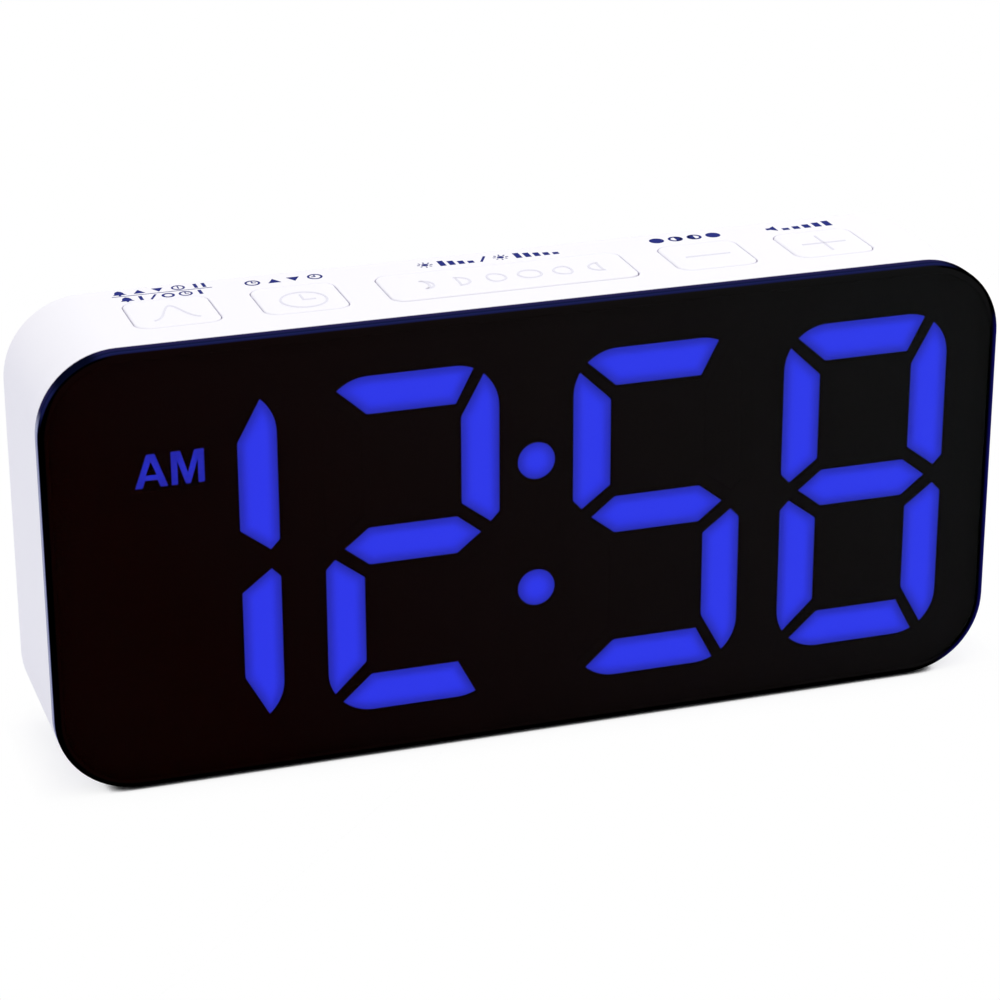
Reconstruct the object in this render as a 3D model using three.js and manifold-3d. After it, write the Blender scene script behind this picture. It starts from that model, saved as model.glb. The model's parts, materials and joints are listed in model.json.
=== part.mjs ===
// Digital alarm clock: a white shell with a smoked lens in front, seven-segment figures behind the lens,
// five push keys on top, and a rear cover that carries a speaker, a power inlet and a battery compartment.
// Millimetres. X runs across the clock, Y from its front to its back, Z up.
// The origin is on the table, below the middle of the clock.

import * as THREE from "three";
import { mergeVertices } from "three/addons/utils/BufferGeometryUtils.js";
import Module from "manifold-3d";

const wasm = await Module();
wasm.setup();

// Figures: they and the margins around them set the size of the front
const figureWidth = 39;
const figureHeight = 77.2;
const figureCorner = 10;
const figureStroke = 8.6;
const figureSpace = 9.8;
const colonSpace = 16.7;
const sideMargin = 11.35;
const topMargin = 11.7;
const bottomMargin = 9.6;
const segmentGap = 2.15;
const joinReach = 7.1;
const tipInset = 2.05;
const leftMitre = 141;
const rightMitre = 57;
const mitreHalf = 7.5;
const colonRadius = 4.25;
const colonSpread = 29.7;

// Half-day letters, in the empty part of the first figure
const letterHeight = 7.5;
const letterStroke = 1.75;
const widthOfA = 7.2;
const widthOfM = 7.3;
const letterSpace = 0.6;
const letterShift = 3.6;
const letterRise = 19.4;

// Body
const bodyWidth = 4 * figureWidth + 2 * figureSpace + colonSpace + 2 * sideMargin;
const bodyHeight = figureHeight + topMargin + bottomMargin;
const bodyDepth = 41;
const bodyCorner = 17.6;
const wall = 2.4;
const rearRounding = 1.5;
const rimWidth = 6;
const rimThickness = 2;

// Clearances: layers that are taped together, pieces that drop in beside each other, a turning pin, boards
const filmGap = 0.05;
const fitGap = 0.3;
const pinGap = 0.1;
const boardClearance = 1.2;

// How far a cut runs past the face that it opens, and a joined piece runs into the next
const through = 1;
const bite = 0.5;

// Front layers
const lensThickness = 2;
const lensRounding = 1.1;
const maskThickness = 1.4;
const windowGap = 0.25;
const diffuserThickness = 1;
const diffuserMargin = 1.5;
const reflectorDepth = 7.5;
const reflectorMargin = 2.2;
const reflectorLip = 4.4;
const boardThickness = 1.6;
const lampWidth = 3;
const lampHeight = 1.6;
const lampSpread = 11;

// Keys
const keyWidth = 18.2;
const keyDepth = 17.3;
const snoozeWidth = 55.6;
const keySpace = 9.5;
const keyCorner = 3;
const keyProud = 0.35;
const keyRounding = 0.5;
const keyLip = 1.5;
const keyLipThickness = 1.2;
const keyBehindFront = 21.9;
const snoozeSwitchAt = 18;
const stemRadius = 2.2;
const stemLength = 0.4;

// Key board and its switches
const switchSize = 6.2;
const switchHeight = 3.15;
const switchFloor = 0.65;
const plungerRadius = 1.75;
const plungerHeight = 2.7;
const plungerProud = 1.1;
const bossRadius = 2.4;
const bossBeside = 5.2;

// Main board
const mainBoardWidth = 150;
const mainBoardHeight = 70;
const mainBoardAt = -17;
const boardSpace = 2.75;
const chipSize = 14;
const chipHeight = 1.8;
const chipAcross = 40;
const chipRise = 10;
const headerWidth = 38;
const headerHeight = 2.5;
const headerDrop = 20;
const keyHeaderWidth = 24;
const keyHeaderDepth = 3.4;
const keyHeaderAcross = 20;
const standoffRadius = 2.6;
const standoffInset = 6;

// Rear cover and its screws
const coverThickness = 2.4;
const coverMargin = 1.2;
const postRadius = 3.3;
const ribThickness = 1.6;
const screwHeadRadius = 2.8;
const screwHeadHeight = 1.2;
const screwRadius = 1.25;
const screwLength = 11;
const screwSink = 0.2;
const smallHeadRadius = 2.1;
const smallScrewRadius = 0.9;
const smallScrewLength = 6;
const crossWidth = 0.7;
const ventCount = 11;
const ventWidth = 2;
const ventHeight = 12;
const ventPitch = 5.5;
const ventUp = 78;

// Speaker
const speakerFromSide = 29.5;
const speakerUp = 49;
const speakerRadius = 18;
const speakerDepth = 6.2;
const speakerRim = 1.5;
const basketThickness = 1;
const coneRadius = 14.6;
const coneRim = 1;
const coneDepth = 3;
const coneThickness = 0.7;
const magnetRadius = 10.5;
const magnetDepth = 4.4;
const cupWall = 1.2;
const cupDepth = 4;
const grilleHoleRadius = 1.3;
const grillePitch = 4.8;
const grilleRings = 2;
const leadRadius = 0.8;
const leadRise = 3;
const leadInset = 4;
const leadClimb = 12;

// Power inlet
const inletFromSide = 27.5;
const inletUp = 22;
const inletWidth = 10;
const inletHeight = 11;
const noseRadius = 4;
const noseLength = 2;
const socketRadius = 2.85;
const socketDepth = 9.5;
const inletPinRadius = 1;

// Battery compartment: two cells side by side, under a door that turns on pins at its upper edge
const cellRadius = 5.25;
const cellLength = 43.6;
const nubRadius = 1.9;
const nubLength = 0.9;
const contactSpace = 2.6;
const contactThickness = 0.4;
const bowHeight = 4;
const bowSpan = 6;
const compartmentAt = -18;
const compartmentUp = 34;
const compartmentWall = 1.2;
const doorLedge = 2;
const doorThickness = 2.1;
const hingePinRadius = 0.7;
const hingePinLength = 1.2;
const nailNotchWidth = 14;
const nailNotchHeight = 3;
const nailNotchDepth = 1.4;
const gripCount = 4;
const gripWidth = 0.8;
const gripPitch = 2;

// Feet
const footWidth = 14;
const footDepth = 8;
const footProud = 0.5;
const footSunk = 0.5;
const footFromCorner = 2.9;
const footFromEdge = 1;

// Places across the clock
const outerFigureAt = bodyWidth / 2 - sideMargin - figureWidth / 2;
const innerFigureAt = outerFigureAt - figureWidth - figureSpace;
const letterCentre = -outerFigureAt - letterShift;
const innerKeyAt = snoozeWidth / 2 + keySpace + keyWidth / 2;
const outerKeyAt = innerKeyAt + keySpace + keyWidth;
const innerBossAt = (snoozeWidth + keySpace) / 2;
const outerBossAt = outerKeyAt + keyWidth / 2 + bossBeside;
const speakerAt = bodyWidth / 2 - speakerFromSide;
const inletAt = inletFromSide - bodyWidth / 2;
const footAcross = bodyWidth / 2 - bodyCorner - footFromCorner - footWidth / 2;

// Levels along Y, from the front to the back
const front = -bodyDepth / 2;
const back = bodyDepth / 2;
const lensBack = front + lensThickness;
const maskFront = lensBack + filmGap;
const maskBack = maskFront + maskThickness;
const shellFront = maskBack + filmGap;
const rimBack = shellFront + rimThickness;
const diffuserFront = shellFront;
const diffuserBack = diffuserFront + diffuserThickness;
const reflectorFront = diffuserBack + filmGap;
const reflectorBack = reflectorFront + reflectorDepth;
const displayBoardFront = reflectorBack + filmGap;
const displayBoardBack = displayBoardFront + boardThickness;
const coverFront = back - coverThickness;
const postBack = coverFront - fitGap;
const keyLine = front + keyBehindFront;
const doorFront = back - doorThickness;
const ledgeBack = doorFront - fitGap;
const cavityDepth = 2 * cellRadius + 3 * fitGap;
const cavityFront = ledgeBack - cavityDepth;
const mainBoardBack = cavityFront - compartmentWall - boardClearance;
const mainBoardFront = mainBoardBack - boardThickness;

// Levels along Z, from the underside of the body
const figuresUp = bottomMargin + figureHeight / 2;
const lettersUp = figuresUp + letterRise;
const wallUnderside = bodyHeight - wall;
const keyLipTop = wallUnderside - fitGap;
const stemBottom = keyLipTop - keyLipThickness - stemLength;
const plungerTop = stemBottom - fitGap;
const switchTop = plungerTop - plungerProud;
const switchBottom = switchTop - switchHeight;
const keyBoardTop = switchBottom - filmGap;
const keyBoardBottom = keyBoardTop - boardThickness;
const mainBoardTop = keyBoardBottom - filmGap - screwHeadHeight - boardSpace;
const mainBoardUp = mainBoardTop - mainBoardHeight / 2;

// Screw posts stand in the corners, where the screw heads stay a margin inside the edge of the cover
const coverCorner = bodyCorner - wall - fitGap;
const postFromCentre = coverCorner - coverMargin - fitGap - screwHeadRadius;
const postInset = bodyCorner - postFromCentre / Math.SQRT2;

// Fineness of arcs: steps in a quarter turn, rings in a rounding, sides of a rod
const roundSteps = 8;
const smallSteps = 3;
const roundingSteps = 3;
const thinSides = 12;
const roundSides = 20;
const wideSides = 24;

const whitePlastic = { color: 0xf3f3f8, roughness: 0.5, metalness: 0 };
const keyPlastic = { color: 0xf6f6fa, roughness: 0.45, metalness: 0 };
const smokedAcrylic = { color: 0x0d0a12, roughness: 0.06, metalness: 0, transparent: true, opacity: 0.45 };
const blackPlastic = { color: 0x0b0a10, roughness: 0.4, metalness: 0 };
const litDiffuser = { color: 0x2f39e9, emissive: 0x2f39e9, roughness: 0.35, metalness: 0 };
const darkDiffuser = { color: 0x0f0d14, roughness: 0.35, metalness: 0 };
const reflectorWhite = { color: 0xe8e8e4, roughness: 0.6, metalness: 0 };
const greenBoard = { color: 0x1f6b45, roughness: 0.5, metalness: 0 };
const switchBlack = { color: 0x1b1b1d, roughness: 0.55, metalness: 0 };
const plungerGrey = { color: 0x8b8d90, roughness: 0.5, metalness: 0 };
const steel = { color: 0xb9bcc0, roughness: 0.3, metalness: 0.9 };
const magnetGrey = { color: 0x53555a, roughness: 0.5, metalness: 0.4 };
const coneBlack = { color: 0x202023, roughness: 0.85, metalness: 0 };
const rubberGrey = { color: 0x8f9095, roughness: 0.9, metalness: 0 };
const cellBlue = { color: 0x3c5a8c, roughness: 0.35, metalness: 0.3 };
const leadRed = { color: 0xa02320, roughness: 0.6, metalness: 0 };

// Shapes and solids

function roundedRect(width, height, radius, x = 0, y = 0) {
  const w = width / 2;
  const h = height / 2;
  const shape = new THREE.Shape();
  shape.moveTo(x + w, y - h + radius);
  shape.absarc(x + w - radius, y + h - radius, radius, 0, Math.PI / 2);
  shape.absarc(x - w + radius, y + h - radius, radius, Math.PI / 2, Math.PI);
  shape.absarc(x - w + radius, y - h + radius, radius, Math.PI, Math.PI * 1.5);
  shape.absarc(x + w - radius, y - h + radius, radius, Math.PI * 1.5, Math.PI * 2);
  return shape;
}

function polygon(points) {
  return new THREE.Shape(points.map(([x, y]) => new THREE.Vector2(x, y)));
}

// A closed geometry as a solid that can be joined and cut.
function solid(geometry) {
  const bare = geometry.clone();
  bare.deleteAttribute("normal");
  bare.deleteAttribute("uv");
  const merged = mergeVertices(bare, 1e-4);
  return new wasm.Manifold(
    new wasm.Mesh({
      numProp: 3,
      vertProperties: merged.attributes.position.array,
      triVerts: new Uint32Array(merged.index.array),
    }),
  );
}

function geometryOf(made) {
  const mesh = made.getMesh();
  const points = new Float32Array(mesh.numVert * 3);
  for (let i = 0; i < mesh.numVert; i++) {
    points.set(mesh.vertProperties.subarray(i * mesh.numProp, i * mesh.numProp + 3), i * 3);
  }
  const indexed = new THREE.BufferGeometry()
    .setAttribute("position", new THREE.BufferAttribute(points, 3))
    .setIndex(new THREE.BufferAttribute(mesh.triVerts, 1));
  const geometry = indexed.toNonIndexed();
  geometry.computeVertexNormals();
  return geometry;
}

// A shape drawn across X and Z, extruded from one level of Y to another.
function alongY(shape, from, to, steps = roundSteps) {
  const depth = to - from;
  const geometry = new THREE.ExtrudeGeometry(shape, { depth, bevelEnabled: false, curveSegments: steps });
  return solid(geometry.rotateX(Math.PI / 2).translate(0, to, 0));
}

// A shape drawn across X and Y, extruded from one level of Z to another.
function alongZ(shape, from, to, steps = roundSteps) {
  const depth = to - from;
  const geometry = new THREE.ExtrudeGeometry(shape, { depth, bevelEnabled: false, curveSegments: steps });
  return solid(geometry.translate(0, 0, from));
}

// The same, with one end rounded: "low" rounds the end with the lesser level, "high" the other.
function roundedEnd(shape, from, to, rounding, end, along, steps = roundSteps, rings = roundingSteps) {
  const depth = (to - from) * 2;
  const start = end === "low" ? from + rounding : to - rounding - depth;
  const geometry = new THREE.ExtrudeGeometry(shape, {
    depth,
    bevelThickness: rounding,
    bevelSize: rounding,
    bevelOffset: -rounding,
    bevelSegments: rings,
    curveSegments: steps,
  });
  const far = bodyWidth * 2;
  if (along === "z") {
    const whole = solid(geometry.translate(0, 0, start));
    return whole.intersect(box(far, far, to - from, 0, 0, (from + to) / 2));
  }
  const whole = solid(geometry.rotateX(Math.PI / 2).translate(0, start + depth, 0));
  return whole.intersect(box(far, to - from, far, 0, (from + to) / 2, 0));
}

function box(width, depth, height, x = 0, y = 0, z = 0) {
  return solid(new THREE.BoxGeometry(width, depth, height).translate(x, y, z));
}

function rodAlongY(radius, from, to, x = 0, z = 0, sides = roundSides) {
  const rod = new THREE.CylinderGeometry(radius, radius, to - from, sides);
  return solid(rod.translate(x, (from + to) / 2, z));
}

function rodAlongZ(radius, from, to, x = 0, y = 0, sides = roundSides) {
  const rod = new THREE.CylinderGeometry(radius, radius, to - from, sides);
  return solid(rod.rotateX(Math.PI / 2).translate(x, y, (from + to) / 2));
}

function rodAlongX(radius, from, to, y = 0, z = 0, sides = roundSides) {
  const rod = new THREE.CylinderGeometry(radius, radius, to - from, sides);
  return solid(rod.rotateZ(Math.PI / 2).translate((from + to) / 2, y, z));
}

function joined(solids) {
  return solids.reduce((whole, next) => whole.add(next));
}

// The group that holds everything, and the body that stands on its feet.
const clock = new THREE.Group();
const body = new THREE.Group();
body.position.z = footProud;
clock.add(body);

function place(name, made, look, x = 0, y = 0, z = 0) {
  const geometry = made.isBufferGeometry ? made : geometryOf(made);
  const mesh = new THREE.Mesh(geometry, new THREE.MeshStandardMaterial(look));
  mesh.name = name;
  mesh.position.set(x, y, z);
  body.add(mesh);
  return mesh;
}

// Figures

// Points on the rounded corner of a figure, at the left (-1) or right (1), between two angles in degrees.
function cornerPoints(side, from, to) {
  const x = side * (figureWidth / 2 - figureCorner);
  const z = figureHeight / 2 - figureCorner;
  return Array.from({ length: smallSteps + 1 }, (_, k) => {
    const angle = THREE.MathUtils.degToRad(from + ((to - from) * k) / smallSteps);
    return [x + figureCorner * Math.cos(angle), z + figureCorner * Math.sin(angle)];
  });
}

// The seven segments of a figure about its centre, named as usual: a on top, b to f clockwise, g across.
function segmentOutlines() {
  const w = figureWidth / 2;
  const h = figureHeight / 2;
  const inner = w - figureStroke;
  const barEnd = inner - segmentGap / 2;
  const barBottom = h - figureStroke;
  const half = figureStroke / 2;
  const tip = w - tipInset;
  const a = [
    ...cornerPoints(-1, leftMitre - mitreHalf, 90),
    ...cornerPoints(1, 90, rightMitre + mitreHalf),
    [barEnd, barBottom],
    [-barEnd, barBottom],
  ];
  const upright = (side, mitre, level) => [
    ...cornerPoints(side, mitre, level),
    [side * w, half],
    [side * tip, segmentGap],
    [side * inner, joinReach],
    [side * inner, barBottom - segmentGap * Math.SQRT2],
  ];
  const b = upright(1, rightMitre - mitreHalf, 0);
  const f = upright(-1, leftMitre + mitreHalf, 180);
  const g = [
    [segmentGap - tip, 0],
    [-barEnd, half],
    [barEnd, half],
    [tip - segmentGap, 0],
    [barEnd, -half],
    [-barEnd, -half],
  ];
  const flipped = (outline) => outline.map(([x, z]) => [x, -z]);
  return { a, b, c: flipped(b), d: flipped(a), e: flipped(f), f, g };
}

// A convex outline drawn in by a distance, edge by edge.
function drawnIn(outline, distance) {
  const points = outline.map(([x, z]) => new THREE.Vector2(x, z));
  const inwards = THREE.ShapeUtils.isClockWise(points) ? -1 : 1;
  return points.map((point, i) => {
    const before = points[(i + points.length - 1) % points.length];
    const after = points[(i + 1) % points.length];
    const along = point.clone().sub(before).normalize();
    const onwards = after.clone().sub(point).normalize();
    const first = new THREE.Vector2(-along.y, along.x).multiplyScalar(inwards);
    const second = new THREE.Vector2(-onwards.y, onwards.x).multiplyScalar(inwards);
    const middle = first.clone().add(second);
    const reach = (2 * distance) / middle.lengthSq();
    return [point.x + middle.x * reach, point.y + middle.y * reach];
  });
}

function moved(outline, x, z) {
  return outline.map(([px, pz]) => [px + x, pz + z]);
}

function dot(x, z) {
  return Array.from({ length: roundSides }, (_, k) => {
    const angle = (k / roundSides) * Math.PI * 2;
    return [x + colonRadius * Math.cos(angle), z + colonRadius * Math.sin(angle)];
  });
}

// The letters A and M, each drawn from its lower left corner, and the hole in the A.
function letterOutlines() {
  const top = letterHeight;
  const bar = letterStroke;
  const apex = bar * 0.55;
  const middle = widthOfA / 2;
  const legRun = (middle - apex) / top;
  const crossbarBottom = top * 0.22;
  const crossbarTop = crossbarBottom + bar * 0.85;
  const holeLeft = crossbarTop * legRun + bar * 0.85;
  const a = [
    [0, 0],
    [middle - apex, top],
    [middle + apex, top],
    [widthOfA, 0],
    [widthOfA - bar, 0],
    [widthOfA - bar - crossbarBottom * legRun, crossbarBottom],
    [bar + crossbarBottom * legRun, crossbarBottom],
    [bar, 0],
  ];
  const hole = [
    [holeLeft, crossbarTop],
    [widthOfA - holeLeft, crossbarTop],
    [middle, top - bar],
  ];
  const shoulder = bar * 1.4;
  const valley = top * 0.39;
  const armpit = top - bar * 1.2;
  const toe = bar / 3;
  const m = [
    [0, 0],
    [0, top],
    [shoulder, top],
    [widthOfM / 2, valley],
    [widthOfM - shoulder, top],
    [widthOfM, top],
    [widthOfM, 0],
    [widthOfM - bar, 0],
    [widthOfM - bar, armpit],
    [widthOfM / 2 + toe, 0],
    [widthOfM / 2 - toe, 0],
    [bar, armpit],
    [bar, 0],
  ];
  return { a, hole, m };
}

const outlines = segmentOutlines();
const allSegments = Object.keys(outlines);
const figureCentres = [-outerFigureAt, -innerFigureAt, innerFigureAt, outerFigureAt];
const figures = [
  { name: "hours_tens", segments: ["b", "c"], lit: ["b", "c"] },
  { name: "hours_units", segments: allSegments, lit: ["a", "b", "d", "e", "g"] },
  { name: "minutes_tens", segments: allSegments, lit: ["a", "c", "d", "f", "g"] },
  { name: "minutes_units", segments: allSegments, lit: allSegments },
].map((figure, i) => ({ ...figure, x: figureCentres[i] }));

const segmentWindows = figures.flatMap(({ x, segments }) =>
  segments.map((key) => moved(outlines[key], x, figuresUp)),
);
const colonDots = [-1, 1].map((side) => dot(0, figuresUp + (side * colonSpread) / 2));
const windows = [...segmentWindows, ...colonDots];
const lettersWidth = widthOfA + letterSpace + widthOfM;
const letterWindow = roundedRect(
  lettersWidth + letterStroke,
  letterHeight + letterStroke,
  1,
  letterCentre,
  lettersUp + letterHeight / 2,
);

// The rectangle behind a list of outlines, with a margin round them.
function plateBehind(list, corner) {
  const xs = list.flat().map(([x]) => x);
  const zs = list.flat().map(([, z]) => z);
  const [left, right, low, high] = [Math.min(...xs), Math.max(...xs), Math.min(...zs), Math.max(...zs)];
  const width = right - left + 2 * diffuserMargin;
  const height = high - low + 2 * diffuserMargin;
  return roundedRect(width, height, corner, (left + right) / 2, (low + high) / 2);
}

// True for a point inside a convex outline.
function inside(outline, x, z) {
  const turns = outline.map(([x0, z0], i) => {
    const [x1, z1] = outline[(i + 1) % outline.length];
    return (x1 - x0) * (z - z0) - (z1 - z0) * (x - x0);
  });
  return turns.every((turn) => turn >= 0) || turns.every((turn) => turn <= 0);
}

// A diffuser: a plate behind the mask, with pads that stand in the mask's windows.
// Its lit pads come first in the geometry, with a material of their own.
function makeDiffuser(name, plateShape, pads, isLit) {
  const padFront = maskFront + filmGap;
  const plate = alongY(plateShape, diffuserFront, diffuserBack, smallSteps);
  const raised = pads.map((pad) => alongY(pad, padFront, diffuserFront + diffuserThickness / 2));
  const corners = geometryOf(joined([plate, ...raised])).attributes.position;
  const lit = [];
  const dark = [];
  for (let i = 0; i < corners.count; i += 3) {
    const middle = new THREE.Vector3();
    const triangle = [0, 1, 2].map((k) => new THREE.Vector3().fromBufferAttribute(corners, i + k));
    triangle.forEach((corner) => middle.addScaledVector(corner, 1 / 3));
    const list = middle.y < diffuserFront && isLit(middle.x, middle.z) ? lit : dark;
    triangle.forEach((corner) => list.push(...corner));
  }
  const geometry = new THREE.BufferGeometry();
  geometry.setAttribute("position", new THREE.Float32BufferAttribute([...lit, ...dark], 3));
  geometry.addGroup(0, lit.length / 3, 0);
  geometry.addGroup(lit.length / 3, dark.length / 3, 1);
  geometry.computeVertexNormals();
  const mesh = place(name, geometry, litDiffuser);
  mesh.material = [mesh.material, new THREE.MeshStandardMaterial(darkDiffuser)];
}

function makeDiffusers() {
  for (const { name, x, segments, lit } of figures) {
    const own = segments.map((key) => moved(outlines[key], x, figuresUp));
    const ownLit = lit.map((key) => moved(outlines[key], x, figuresUp));
    const pads = own.map((outline) => polygon(drawnIn(outline, windowGap)));
    const isLit = (px, pz) => ownLit.some((outline) => inside(outline, px, pz));
    const corner = segments.length > 2 ? figureCorner : 1;
    makeDiffuser(`${name}_diffuser`, plateBehind(own, corner), pads, isLit);
  }
  const dots = colonDots.map((outline) => polygon(drawnIn(outline, windowGap)));
  makeDiffuser("colon_diffuser", plateBehind(colonDots, colonRadius), dots, () => true);

  const { a, hole, m } = letterOutlines();
  const left = letterCentre - lettersWidth / 2;
  const letterA = polygon(moved(a, left, lettersUp));
  letterA.holes.push(polygon(moved(hole, left, lettersUp)));
  const letterM = polygon(moved(m, left + widthOfA + letterSpace, lettersUp));
  const plate = plateBehind([letterWindow.getPoints(1).map(({ x, y }) => [x, y])], 1);
  makeDiffuser("half_day_diffuser", plate, [letterA, letterM], () => true);
}

// Front pieces

const bodyOutline = roundedRect(bodyWidth, bodyHeight, bodyCorner, 0, bodyHeight / 2);

// The outline of the reflector and of its board, and the same grown by a lip.
function blockOutline(grow) {
  const reach = reflectorMargin + grow;
  const width = 2 * outerFigureAt + figureWidth + 2 * reach;
  return roundedRect(width, figureHeight + 2 * reach, figureCorner + reach, 0, figuresUp);
}

const postPlaces = [-1, 1].flatMap((side) =>
  [-1, 1].map((end) => ({
    side,
    end,
    x: side * (bodyWidth / 2 - postInset),
    z: end < 0 ? postInset : bodyHeight - postInset,
  })),
);

// A screw post in a corner of the shell, with a rib to the wall; grown, it cuts room for itself.
function cornerPost({ side, end, x, z }, grow, from, to) {
  const reach = (bodyCorner - wall / 2 - postFromCentre) / Math.SQRT2;
  const half = (ribThickness / 2 + grow) / Math.SQRT2;
  const rib = polygon([
    [x - side * half, z + end * half],
    [x + side * half, z - end * half],
    [x + side * (reach + half), z + end * (reach - half)],
    [x + side * (reach - half), z + end * (reach + half)],
  ]);
  return rodAlongY(postRadius + grow, from, to, x, z).add(alongY(rib, from, to));
}

function cornerCuts() {
  return postPlaces.map((corner) => cornerPost(corner, fitGap, front, back));
}

function makeLens() {
  const lens = roundedEnd(bodyOutline, front, lensBack, lensRounding, "low", "y");
  place("front_lens", lens, smokedAcrylic);
}

function makeMask() {
  const from = maskFront - through;
  const to = maskBack + through;
  const holes = windows.map((outline) => alongY(polygon(outline), from, to));
  const plate = alongY(bodyOutline, maskFront, maskBack);
  place("display_mask", plate.subtract(joined([...holes, alongY(letterWindow, from, to)])), blackPlastic);
}

function makeReflector() {
  const lipFront = rimBack + filmGap;
  const block = alongY(blockOutline(0), reflectorFront, reflectorBack);
  const lip = alongY(blockOutline(reflectorLip), lipFront, lipFront + rimThickness);
  const from = reflectorFront - through;
  const to = reflectorBack + through;
  const cells = windows.map((outline) => alongY(polygon(drawnIn(outline, windowGap)), from, to));
  const cuts = joined([...cells, alongY(letterWindow, from, to), ...cornerCuts()]);
  place("reflector_frame", block.add(lip).subtract(cuts), reflectorWhite);
}

// The places of the lamps behind a figure: two under each of its segments.
function figureLamps(x, segments) {
  const across = figureWidth / 2 - figureStroke / 2;
  const up = figureHeight / 2 - figureStroke / 2;
  const bars = { a: up, g: 0, d: -up };
  const uprights = {
    b: [across, up / 2],
    c: [across, -up / 2],
    e: [-across, -up / 2],
    f: [-across, up / 2],
  };
  return segments.flatMap((key) =>
    [-lampSpread / 2, lampSpread / 2].map((step) =>
      key in bars
        ? [x + step, figuresUp + bars[key]]
        : [x + uprights[key][0], figuresUp + uprights[key][1] + step],
    ),
  );
}

function makeDisplayBoard() {
  const lampBack = displayBoardFront + boardThickness / 2;
  const lampFront = displayBoardFront - lampHeight;
  const colonLamps = [-1, 1].map((side) => [0, figuresUp + (side * colonSpread) / 2]);
  const letterMiddle = lettersUp + letterHeight / 2;
  const letterLamps = [-1, 1].map((side) => [letterCentre + (side * lettersWidth) / 4, letterMiddle]);
  const segmentLamps = figures.flatMap(({ x, segments }) => figureLamps(x, segments));
  const lamps = [...segmentLamps, ...colonLamps, ...letterLamps].map(([x, z]) =>
    box(lampWidth, lampBack - lampFront, lampWidth, x, (lampFront + lampBack) / 2, z),
  );
  const board = alongY(blockOutline(0), displayBoardFront, displayBoardBack).subtract(joined(cornerCuts()));
  place("display_board", joined([board, ...lamps]), greenBoard);
}

// Keys, their switches and the board below them

const keys = [
  { name: "alarm", x: -outerKeyAt, width: keyWidth, switches: [0] },
  { name: "time", x: -innerKeyAt, width: keyWidth, switches: [0] },
  { name: "snooze", x: 0, width: snoozeWidth, switches: [-snoozeSwitchAt, snoozeSwitchAt] },
  { name: "minus", x: innerKeyAt, width: keyWidth, switches: [0] },
  { name: "plus", x: outerKeyAt, width: keyWidth, switches: [0] },
];

// A key: a crown that stands through the top of the shell, a lip that keeps it in, a stem to each switch.
function makeKey({ name, x, width, switches }) {
  const lipBottom = keyLipTop - keyLipThickness;
  const crownOutline = roundedRect(width, keyDepth, keyCorner);
  const crownBottom = keyLipTop - keyLipThickness / 2;
  const crownTop = bodyHeight + keyProud;
  const crown = roundedEnd(crownOutline, crownBottom, crownTop, keyRounding, "high", "z", smallSteps, 2);
  const lipOutline = roundedRect(width + 2 * keyLip, keyDepth + 2 * keyLip, keyCorner + keyLip);
  const lip = alongZ(lipOutline, lipBottom, keyLipTop, smallSteps);
  const stems = switches.map((at) => rodAlongZ(stemRadius, stemBottom, crownBottom, at));
  place(`${name}_key`, joined([crown, lip, ...stems]), keyPlastic, x, keyLine, 0);

  switches.forEach((at, i) => {
    const suffix = switches.length > 1 ? `_${i + 1}` : "";
    const housing = box(switchSize, switchSize, switchHeight, 0, 0, switchHeight / 2);
    const bore = rodAlongZ(plungerRadius + fitGap, switchFloor, switchHeight + through);
    place(`${name}_switch${suffix}`, housing.subtract(bore), switchBlack, x + at, keyLine, switchBottom);
    const plunger = rodAlongZ(plungerRadius, -plungerHeight, 0);
    place(`${name}_plunger${suffix}`, plunger, plungerGrey, x + at, keyLine, plungerTop);
  });
}

// A screw along Z, its head at the bottom and a cross cut into it.
function screw(headRadius, radius, length) {
  const head = rodAlongZ(headRadius, 0, screwHeadHeight);
  const shank = rodAlongZ(radius, screwHeadHeight / 2, screwHeadHeight + length, 0, 0, thinSides);
  const reach = headRadius * 1.2;
  const cross = box(reach, crossWidth, screwHeadHeight).add(box(crossWidth, reach, screwHeadHeight));
  return head.add(shank).subtract(cross);
}

function makeKeyBoard() {
  const frontEdge = displayBoardBack + boardClearance;
  const backEdge = keyLine + keyDepth / 2;
  const width = 2 * (outerBossAt + bossRadius);
  const outline = roundedRect(width, backEdge - frontEdge, 1, 0, (frontEdge + backEdge) / 2);
  const board = alongZ(outline, keyBoardBottom, keyBoardTop, smallSteps);
  const holeBottom = keyBoardBottom - through;
  const holes = [-innerBossAt, innerBossAt].map((x) =>
    rodAlongZ(smallScrewRadius + fitGap, holeBottom, keyBoardTop + through, x, keyLine, thinSides),
  );
  place("key_board", board.subtract(joined(holes)), greenBoard);

  const made = screw(smallHeadRadius, smallScrewRadius, smallScrewLength);
  [-innerBossAt, innerBossAt].forEach((x, i) => {
    place(`key_board_screw_${i + 1}`, made, steel, x, keyLine, keyBoardBottom - filmGap - screwHeadHeight);
  });
}

// Feet

const footForward = -shellFront - footFromEdge - footDepth / 2;
const footPlaces = [-1, 1].flatMap((side) =>
  [-footForward, footForward].map((y) => ({ x: side * footAcross, y })),
);

function footOutline(grow, x = 0, y = 0) {
  const depth = footDepth + 2 * grow;
  return roundedRect(footWidth + 2 * grow, depth, depth * 0.45, x, y);
}

function makeFeet() {
  footPlaces.forEach(({ x, y }, i) => {
    const foot = roundedEnd(footOutline(0), -footProud, footSunk, footProud / 4, "low", "z", smallSteps, 1);
    place(`foot_${i + 1}`, foot, rubberGrey, x, y, 0);
  });
}

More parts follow.
